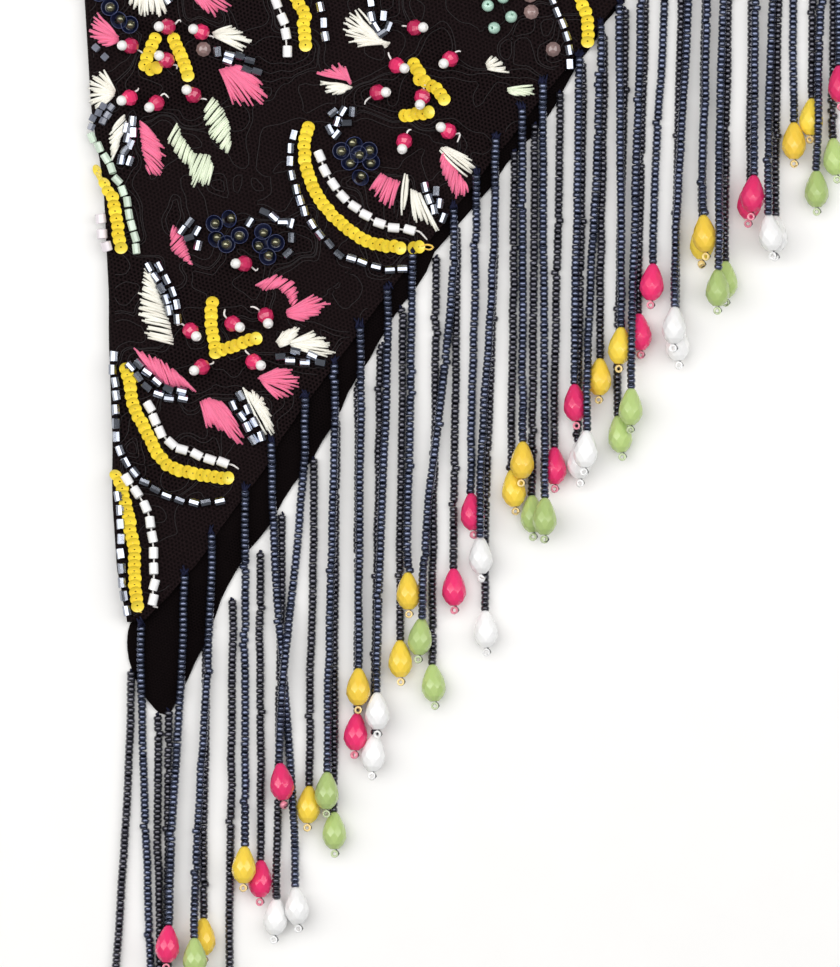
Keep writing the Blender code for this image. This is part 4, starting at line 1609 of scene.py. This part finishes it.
class BANDANA_OT_drops(bpy.types.Operator):
    """Hangs a faceted drop with a small seed below it on every strand"""

    bl_idname = "bandana.drops"
    bl_label = "Drops"

    def execute(self, context):
        settings = context.scene.bandana_fringe
        seed = ring_bead(*DROP_SEED, 10)
        random = np.random.default_rng(64)
        loops = Heap(63)
        for colour in sorted(set(DROP_COLOURS.values())):
            heap, seeds = Heap(61), Heap(62)
            for strand in fringe():
                if strand.colour == colour:
                    axes = axes_of(strand.axis, UP)[None]
                    heap.put(faceted_drop(10), strand.drop[None], axes)
                    low = strand.drop - SEED_FALL * strand.axis
                    facing = (UP + random.normal(0, 0.3, 3))[None]
                    seeds.put(seed, low[None], axes_of(facing, strand.axis))
                    side = 0.0011 * axes[0, :, 1]
                    ends = (strand.drop - 0.0034 * strand.axis, low + side, low - 0.0008 * strand.axis)
                    path, _ = smooth_line(ends, THREAD_STEP)
                    loops.thread(path[None], np.broadcast_to(UP, (1, *path.shape)), *LOOP_THREAD)
            tint = tuple(getattr(settings, colour))
            heap.piece(f"drops_{colour}", varied_finish(
                f"drops_{colour}", tint, 0.22, 0.16, 300.0, 0.00001, Coat_Weight=0.3, Coat_Roughness=0.12,
                Subsurface_Weight=0.4, Subsurface_Radius=(0.003, 0.003, 0.003), Subsurface_Scale=1.0,
            ), crease=12)
            # The seeds are paler than their drops: painted light, standing in for the white floor seen
            # through the glass.
            seed_tint_with_painted_light = [0.25 + 0.70 * channel for channel in tint]
            seeds.piece(f"drop_seeds_{colour}", varied_finish(
                f"drop_seeds_{colour}", seed_tint_with_painted_light, 0.15, 0.15, 900.0, 0.00002, Coat_Weight=0.5,
            ))
        loops.piece("drop_loops", varied_finish("dark_thread", (0.02, 0.02, 0.03), 0.7, 0.2, 1800.0, 0.0001))
        return {"FINISHED"}


class BANDANA_OT_knots(bpy.types.Operator):
    """Ties the strands on with small fuzzy bundles of navy thread"""

    bl_idname = "bandana.knots"
    bl_label = "Thread knots"

    def execute(self, context):
        random = np.random.default_rng(71)
        heap = Heap(72)
        for strand in fringe():
            threads = (16 if strand.seen else 6) if strand.hem == "upper" else 4
            reach = 0.8 if strand.hem == "upper" else 0.4
            first = strand.beads[0] - 0.0005 * strand.runs[0]
            low = random.normal(0, 1, (threads, 2)) * KNOT_LOW
            high = random.normal(0, 1, (threads, 2)) * KNOT_HIGH + (0.0, KNOT_REACH)
            ends = first[:2] + reach * np.stack((low, high), axis=1)
            part = np.linspace(0, 1, 5)[None, :, None]
            plan = ends[:, :1] + part * (ends[:, 1:] - ends[:, :1])
            arch = np.sin(math.pi * part[..., 0]) * random.uniform(0.3, 1, (threads, 1))
            lift = 0.0003 + KNOT_RISE * arch
            height = np.maximum(ground_height(plan), first[2] - KNOT_SINK) + lift
            paths = np.concatenate((plan, height[..., None]), axis=2)
            heap.thread(paths, np.broadcast_to(UP, paths.shape), *KNOT_THREAD, COARSE_THREAD)
        heap.piece("strand_knots", varied_finish(
            "navy_thread", (0.011, 0.013, 0.042), 0.8, 0.4, 2600.0, 0.00010, Specular_IOR_Level=0.2,
        ))
        return {"FINISHED"}


# Embroidery.


def row_kit(settings):
    """How each kind of row is made: shape, finish, pitch, and how its pieces are set."""
    glossy = {"Coat_Weight": 0.5, "Coat_Roughness": 0.06}
    white = varied_finish("white_tubes", (0.95, 0.95, 0.96), 0.18, 0.10, 500.0, 0.00002, **glossy)
    grey = varied_finish("grey_tubes", settings.tube_colour, 0.22, 0.35, 700.0, 0.00002, Metallic=1.0)
    pale = varied_finish("lavender_tubes", (0.20, 0.215, 0.27), 0.20, 0.25, 500.0, 0.00003, **glossy)
    mint = varied_finish("mint_tubes", (0.66, 0.80, 0.66), 0.15, 0.25, 500.0, 0.00002, **glossy)
    pearl = varied_finish("pearl_tubes", (0.80, 0.74, 0.78), 0.12, 0.12, 400.0, 0.00002, **glossy)
    round_tube, cut_tube = (0.0024, 0.0029), (0.0021, 0.0026)
    return {
        "white": (round_tube, white, 0.0038, 10),
        "grey": (cut_tube, grey, 0.0034, 8),
        "lavender": ((0.0019, 0.0017), pale, 0.0023, 6),
        "mint": ((0.0020, 0.0026), mint, 0.0031, 8),
        "pearl": ((0.0028, 0.0024), pearl, 0.0035, 10),
    }


def row_places(motif, cells, pitch, random):
    """Places, runs and normals of a row's pieces, in each placing of its motif."""
    for hidden, place in placings(motif):
        plan, runs = smooth_line(place(cells), pitch)
        plan = plan + random.normal(0, 0.00010, plan.shape)
        keep = kept(plan, hidden)
        if keep.any():
            raised, normals = on_upper(plan[keep])
            yield hidden, raised, np.column_stack((runs[keep], np.zeros(keep.sum()))), normals


class BANDANA_OT_sequins(bpy.types.Operator):
    """Sews the rows of overlapping yellow sequins and the navy cups"""

    bl_idname = "bandana.sequins"
    bl_label = "Sequins"

    def execute(self, context):
        settings = context.scene.bandana_embroidery
        random = np.random.default_rng(81)
        width = settings.sequin_width
        heap = Heap(82)
        near = cup_sequin(width, SEQUIN_DEPTHS[0], SEQUIN_HOLE, 18)
        far = plain_sequin(width, SEQUIN_DEPTHS[1], 8)
        for motif, (kind, cells) in by_motif(ROWS):
            if kind == "yellow":
                for hidden, places, runs, normals in row_places(motif, cells, SEQUIN_PITCH, random):
                    lean = random.normal(SEQUIN_TILT, 0.05, (len(places), 1))
                    main = normals * np.cos(lean) + runs * np.sin(lean)
                    main = main + random.normal(0, 0.04, main.shape)
                    lifted = places + SEQUIN_LIFT * normals
                    heap.put(far if hidden else near, lifted, axes_of(main, runs))
        heap.piece("yellow_sequins", varied_finish(
            "yellow_sequins", settings.sequin_colour, 0.35, 0.12, 300.0, 0.00003,
            Coat_Weight=0.6, Coat_Roughness=0.3,
        ), crease=28)
        return {"FINISHED"}


def loose_places(motif, tubes):
    """Places, runs and normals of tubes sewn one by one, in each placing of their motif."""
    cells = np.array(tubes, float)[:, :2]
    turns = np.radians(np.array(tubes, float)[:, 2])
    ends = cells + np.column_stack((np.cos(turns), -np.sin(turns)))
    for hidden, place in placings(motif):
        plan = place(cells)
        keep = kept(plan, hidden)
        if keep.any():
            raised, normals = on_upper(plan[keep])
            runs = (place(ends) - plan)[keep] / CELL
            yield hidden, raised, np.column_stack((runs, np.zeros(len(runs)))), normals


class BANDANA_OT_tubes(bpy.types.Operator):
    """Sews the rows of tube beads"""

    bl_idname = "bandana.tubes"
    bl_label = "Tube beads"

    def execute(self, context):
        kit = row_kit(context.scene.bandana_embroidery)
        random = np.random.default_rng(91)
        links = Heap(93)
        for kind in TUBE_KINDS:
            (width, length), finish, pitch, sides = kit[kind]
            heap = Heap(92)
            groups = [
                row_places(motif, cells, pitch, random)
                for motif, (row_kind, cells) in by_motif(ROWS) if row_kind == kind
            ]
            groups += [
                loose_places(motif, tubes)
                for motif, (tube_kind, tubes) in by_motif(LOOSE_TUBES) if tube_kind == kind
            ]
            for hidden, places, runs, normals in itertools.chain(*groups):
                shape = plain_tube(width, length, 6) if hidden else tube_bead(width, length, sides)
                lean = random.normal(0, 0.09, places.shape)
                roll = random.normal(0, 0.45, places.shape)
                axes = axes_of(runs + lean, normals + roll)
                slip = random.uniform(-0.0002, 0.0002, (len(places), 1)) * runs
                heap.put(shape, places + slip + 0.47 * width * normals, axes)
            heap.piece(f"{kind}_tubes", finish, crease=40)
        for _, (kind, cells) in by_motif(ROWS):
            if kind == "white":
                plan, _ = smooth_line(cell_places(cells), 0.001)
                raised, normals = on_upper(plan[kept(plan, False)], 0.0008)
                links.thread(raised[None], normals[None], *ROW_THREAD, tails=1.0)
        links.piece("row_threads", thread_finish("row_thread", (0.80, 0.78, 0.76)))
        return {"FINISHED"}


def single_places(motif, cells):
    """Place and normal of one cell in each placing of its motif, where it is kept."""
    for hidden, place in placings(motif):
        plan = place(np.array(cells, float))
        if kept(plan, hidden).all():
            raised, normals = on_upper(plan)
            yield hidden, raised, normals


class BANDANA_OT_beads(bpy.types.Operator):
    """Sews the raspberry beads with their white seeds, the cups, the mint beads and the stones"""

    bl_idname = "bandana.beads"
    bl_label = "Round beads, cups and stones"

    def execute(self, context):
        settings = context.scene.bandana_embroidery
        random = np.random.default_rng(101)
        berries, seeds, threads = Heap(102), Heap(103), Heap(104)
        for motif, (bead, seed) in by_motif(RASPBERRIES):
            for hidden, places, normals in single_places(motif, (bead, seed)):
                towards = places[1, :2] - places[0, :2]
                towards = towards / np.linalg.norm(towards)
                main = np.array((*(math.sin(BERRY_LEAN) * towards), math.cos(BERRY_LEAN)))
                centre = places[0] + BERRY_LIFT * normals[0]
                axes = axes_of(main, UP_THE_VIEW)[None]
                detail, seed_detail = ((7, 4), (6, 4)) if hidden else ((9, 6), (12, 6))
                berries.put(round_bead(BERRY_WIDTH, *detail), centre[None], axes)
                beside = (centre + WHITE_SEED_REACH * main)[None]
                seeds.put(round_bead(WHITE_SEED_WIDTH, *seed_detail), beside, axes)
                if not hidden:
                    self.add_tail(threads, places[0], towards, random)
        glossy = {"Coat_Weight": 0.6, "Coat_Roughness": 0.05}
        berries.piece("raspberry_beads", varied_finish(
            "raspberry_beads", settings.raspberry, 0.15, 0.45, 700.0, 0.00005, **glossy,
        ), crease=20)
        seeds.piece("white_seeds", varied_finish(
            "white_seeds", (0.90, 0.89, 0.87), 0.2, 0.06, 500.0, 0.00002, **glossy,
        ))
        yellow_threads = Heap(109)
        for colour, cells in ROW_TAILS:
            plan, _ = smooth_line(cell_places(cells), THREAD_STEP)
            raised, normals = on_upper(plan, THREAD_LIFT)
            heap = threads if colour == "white" else yellow_threads
            heap.thread(raised[None], normals[None], *TAIL_THREAD)
        threads.piece("white_thread_tails", thread_finish("white_thread", (0.88, 0.84, 0.82)))
        yellow_threads.piece("yellow_thread_tails", thread_finish("yellow_thread", (0.90, 0.58, 0.08)))
        self.add_cups(settings, random)
        self.add_stones(glossy, random)
        return {"FINISHED"}

    def add_tail(self, heap, place, towards, random):
        """Adds the short thread that shows on the far side of a bead."""
        across = np.array((-towards[1], towards[0]))
        ends = [place[:2]]
        for length, stray in TAIL_PARTS:
            ends.append(ends[-1] - length * towards + random.normal(0, stray) * across)
        plan, _ = smooth_line(ends[1:], THREAD_STEP)
        raised, normals = on_upper(plan, THREAD_LIFT)
        heap.thread(raised[None], normals[None], *TAIL_THREAD)

    def add_cups(self, settings, random):
        """Adds the navy cup sequins with a gold seed in each, and on each seen cup a lighter blue ring at the
        rim as a painted highlight.
        """
        cups, golds, rim_highlights = Heap(105), Heap(106), Heap(110)
        rim = turned(RIM_HIGHLIGHT_PROFILE, 20)
        for motif, cell in by_motif(CUPS):
            for hidden, places, normals in single_places(motif, (cell,)):
                main = normals + random.normal(0, 0.24, normals.shape)
                axes = axes_of(main, UP_THE_VIEW)
                cup = plain_sequin(*CUP, 8) if hidden else cup_sequin(*CUP, CUP_HOLE, 20)
                lifted = places + CUP_LIFT * normals
                cups.put(cup, lifted, axes)
                if not hidden:
                    rim_highlights.put(rim, lifted, axes)
                gold = round_bead(GOLD_SEED_WIDTH, *((6, 4) if hidden else (12, 6)))
                leaning_axes = axes_of(normals + (0.9, 0.6, 0.0), main)
                golds.put(gold, places + GOLD_SEED_LIFT * normals, leaning_axes)
        cups.piece("navy_cups", varied_finish(
            "navy_cups", settings.cup_colour, 0.30, 0.3, 400.0, 0.00002, Coat_Weight=0.5, Coat_Roughness=0.22,
        ), crease=40)
        # The rim rings are a lighter blue than the cups: a painted highlight where the rim catches the light.
        rim_highlights.piece("cup_rims", varied_finish(
            "cup_rims", (0.030, 0.045, 0.15), 0.3, 0.3, 400.0, 0.00002, Coat_Weight=0.5,
        ))
        golds.piece("gold_seeds", varied_finish(
            "gold_seeds", (0.20, 0.19, 0.11), 0.25, 0.3, 500.0, 0.00002, Metallic=0.8, Coat_Weight=1.0,
        ))

    def add_stones(self, glossy, random):
        """Adds the mint beads and the flat stones."""
        mint, stones = Heap(107), Heap(108)
        for motif, cell in by_motif(MINT_BEADS):
            for hidden, places, normals in single_places(motif, (cell,)):
                main = normals + random.normal(0, 0.4, normals.shape)
                axes = axes_of(main, UP_THE_VIEW)
                shape = round_bead(MINT_WIDTH, *((8, 5) if hidden else (16, 7)))
                mint.put(shape, places + MINT_LIFT * normals, axes)
        for motif, cell in by_motif(STONES):
            for hidden, places, normals in single_places(motif, (cell,)):
                axes = axes_of(normals + random.normal(0, 0.08, normals.shape), UP_THE_VIEW)
                stones.put(flat_stone(STONE_WIDTH), places, axes)
        mint.piece("mint_beads", varied_finish(
            "mint_beads", (0.46, 0.69, 0.58), 0.12, 0.2, 400.0, 0.00002, **glossy,
        ))
        stones.piece("smoky_stones", varied_finish(
            "smoky_stones", (0.30, 0.20, 0.19), 0.08, 0.3, 400.0, 0.00002, **glossy,
        ), crease=10)


class BANDANA_OT_leaves(bpy.types.Operator):
    """Stitches the leaves in pink, cream and green thread"""

    bl_idname = "bandana.leaves"
    bl_label = "Stitched leaves"

    def execute(self, context):
        settings = context.scene.bandana_embroidery
        for colour in ("pink", "cream", "green"):
            random = np.random.default_rng(111)
            heap = Heap(112)
            for motif, (leaf_colour, root, tips) in by_motif(LEAVES):
                if leaf_colour == colour:
                    for hidden, place in placings(motif):
                        self.stitch(heap, place(root), place(tips), hidden, random)
            heap.piece(f"{colour}_leaves", thread_finish(f"{colour}_thread", getattr(settings, colour)))
        return {"FINISHED"}

    def stitch(self, heap, root, tips, hidden, random):
        """Adds a leaf's stitches, fanned from its root line to its line of tips."""
        spacing = STITCH_SPACING * (1.35 if hidden else 1.0)
        reach = max(distances(root)[-1], distances(tips)[-1])
        share = np.linspace(0, 1, max(int(reach / spacing), 4) + 1)
        tufts = np.round((np.arange(len(share)) + random.uniform(0, 2)) / TUFT) * TUFT
        gathered = share + TUFTED * (tufts / (len(share) - 1) - share)
        starts, ends = resampled(root, share), resampled(tips, np.clip(gathered, 0, 1))
        starts = starts + random.normal(0, STITCH_STRAY, starts.shape)
        ends = ends + (ends - starts) * random.uniform(-0.20, 0.06, (len(share), 1))
        keep = kept(starts, hidden) & kept(ends, hidden)
        if not keep.any():
            return
        part = np.linspace(0, 1, 4 if hidden else 7)
        bow = (part * (1 - part))[None, :, None]
        across = np.stack((-(ends - starts)[keep][:, 1], (ends - starts)[keep][:, 0]), axis=1)
        plan = starts[keep][:, None] + part[None, :, None] * (ends - starts)[keep][:, None]
        plan = plan + bow * across[:, None] * random.normal(0, 0.10, (keep.sum(), 1, 1))
        raised, normals = on_upper(plan)
        lift = 0.0001 + STITCH_RISE * bow * 4 + random.uniform(0, 0.00022, (keep.sum(), 1, 1))
        width, ring = (1.3 * STITCH_WIDTH, COARSE_THREAD) if hidden else (STITCH_WIDTH, FINE_THREAD)
        heap.thread(raised + lift * normals, normals, width, 0.7 * STITCH_WIDTH, ring)


# Stage.


def add_area_light(name, place, aim, size, power, colour):
    """A softbox at a place, aimed at another. Size: across and along the view."""
    light = bpy.data.lights.new(name, "AREA")
    light.shape = "RECTANGLE"
    light.size, light.size_y = size
    light.energy = power
    light.color = colour
    item = bpy.data.objects.new(name, light)
    item.location = place
    item.rotation_euler = (Vector(aim) - Vector(place)).to_track_quat("-Z", "Y").to_euler()
    item.visible_camera = False
    bpy.context.scene.collection.objects.link(item)


class BANDANA_OT_stage(bpy.types.Operator):
    """Sets the pale floor, the soft studio light and the camera straight above"""

    bl_idname = "bandana.stage"
    bl_label = "Stage"

    def execute(self, context):
        scene = context.scene
        middle = cell_places((VIEW_CELLS[0] / 2, VIEW_CELLS[1] / 2))
        self.add_floor()
        strip = np.array((*middle, 0.0)) + STRIP_PLACE
        below = (*strip[:2], 0.0)
        add_area_light("strip_softbox", strip, below, STRIP_SIZE, STRIP_POWER, (1.0, 0.99, 0.98))
        fill = np.array((*middle, 0.0)) + FILL_PLACE
        add_area_light("fill_softbox", fill, (*middle, 0.0), FILL_SIZE, FILL_POWER, (1.0, 0.99, 0.97))
        world = bpy.data.worlds.new("studio")
        world.use_nodes = True
        background = world.node_tree.nodes["Background"]
        background.inputs["Color"].default_value = (0.94, 0.96, 1.0, 1.0)
        background.inputs["Strength"].default_value = WORLD_STRENGTH
        scene.world = world
        camera = bpy.data.cameras.new("camera")
        camera.sensor_fit = "VERTICAL"
        camera.sensor_height = CAMERA_SENSOR
        camera.lens = CAMERA_SENSOR * CAMERA_HEIGHT / (VIEW_CELLS[1] * CELL)
        item = bpy.data.objects.new("camera", camera)
        item.location = (*middle, CAMERA_HEIGHT)
        scene.collection.objects.link(item)
        scene.camera = item
        scene.view_settings.view_transform = "Standard"
        return {"FINISHED"}

    def add_floor(self):
        """Adds the pale floor under the part."""
        bpy.ops.mesh.primitive_plane_add(size=FLOOR_SIZE, location=(0.0, 0.0, FLOOR_HEIGHT))
        floor = bpy.context.object
        floor.name = "floor"
        finish = plain_finish("floor", (0.90, 0.895, 0.885), 0.75)
        tree = finish.node_tree
        grain = add_node(tree, "ShaderNodeTexNoise", {"Vector": object_place(tree), "Scale": 60.0})
        colour = tinted(tree, grain.outputs["Fac"], (0.885, 0.88, 0.87), (0.915, 0.91, 0.90))
        tree.links.new(colour, tree.nodes["Principled BSDF"].inputs["Base Color"])
        floor.data.materials.append(finish)


class BANDANA_PT_panel(bpy.types.Panel):
    """Lists the steps of the bandana and their settings"""

    bl_idname = "BANDANA_PT_panel"
    bl_label = "Beaded lace bandana"
    bl_space_type = "VIEW_3D"
    bl_region_type = "UI"
    bl_category = "Bandana"

    def draw(self, context):
        layout = self.layout
        for settings in (
            context.scene.bandana_lace, context.scene.bandana_fringe, context.scene.bandana_embroidery,
        ):
            box = layout.box()
            for name in settings.__annotations__:
                box.prop(settings, name)
        for step in STEPS:
            layout.operator(step.bl_idname)


STEPS = (
    BANDANA_OT_stage, BANDANA_OT_lace, BANDANA_OT_cords, BANDANA_OT_strands, BANDANA_OT_drops,
    BANDANA_OT_knots, BANDANA_OT_sequins, BANDANA_OT_tubes, BANDANA_OT_beads, BANDANA_OT_leaves,
)
CLASSES = (LaceSettings, FringeSettings, EmbroiderySettings, *STEPS, BANDANA_PT_panel)


def register():
    """Registers the classes and the scene's settings."""
    for item in CLASSES:
        bpy.utils.register_class(item)
    bpy.types.Scene.bandana_lace = bpy.props.PointerProperty(type=LaceSettings)
    bpy.types.Scene.bandana_fringe = bpy.props.PointerProperty(type=FringeSettings)
    bpy.types.Scene.bandana_embroidery = bpy.props.PointerProperty(type=EmbroiderySettings)


def unregister():
    """Removes the settings and the classes."""
    del bpy.types.Scene.bandana_embroidery
    del bpy.types.Scene.bandana_fringe
    del bpy.types.Scene.bandana_lace
    for item in reversed(CLASSES):
        bpy.utils.unregister_class(item)


def main():
    """Dresses the bandana."""
    register()
    bpy.ops.bandana.stage()
    bpy.ops.bandana.lace()
    bpy.ops.bandana.cords()
    bpy.ops.bandana.strands()
    bpy.ops.bandana.drops()
    bpy.ops.bandana.knots()
    bpy.ops.bandana.sequins()
    bpy.ops.bandana.tubes()
    bpy.ops.bandana.beads()
    bpy.ops.bandana.leaves()
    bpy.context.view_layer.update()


if __name__ == "__main__":
    main()
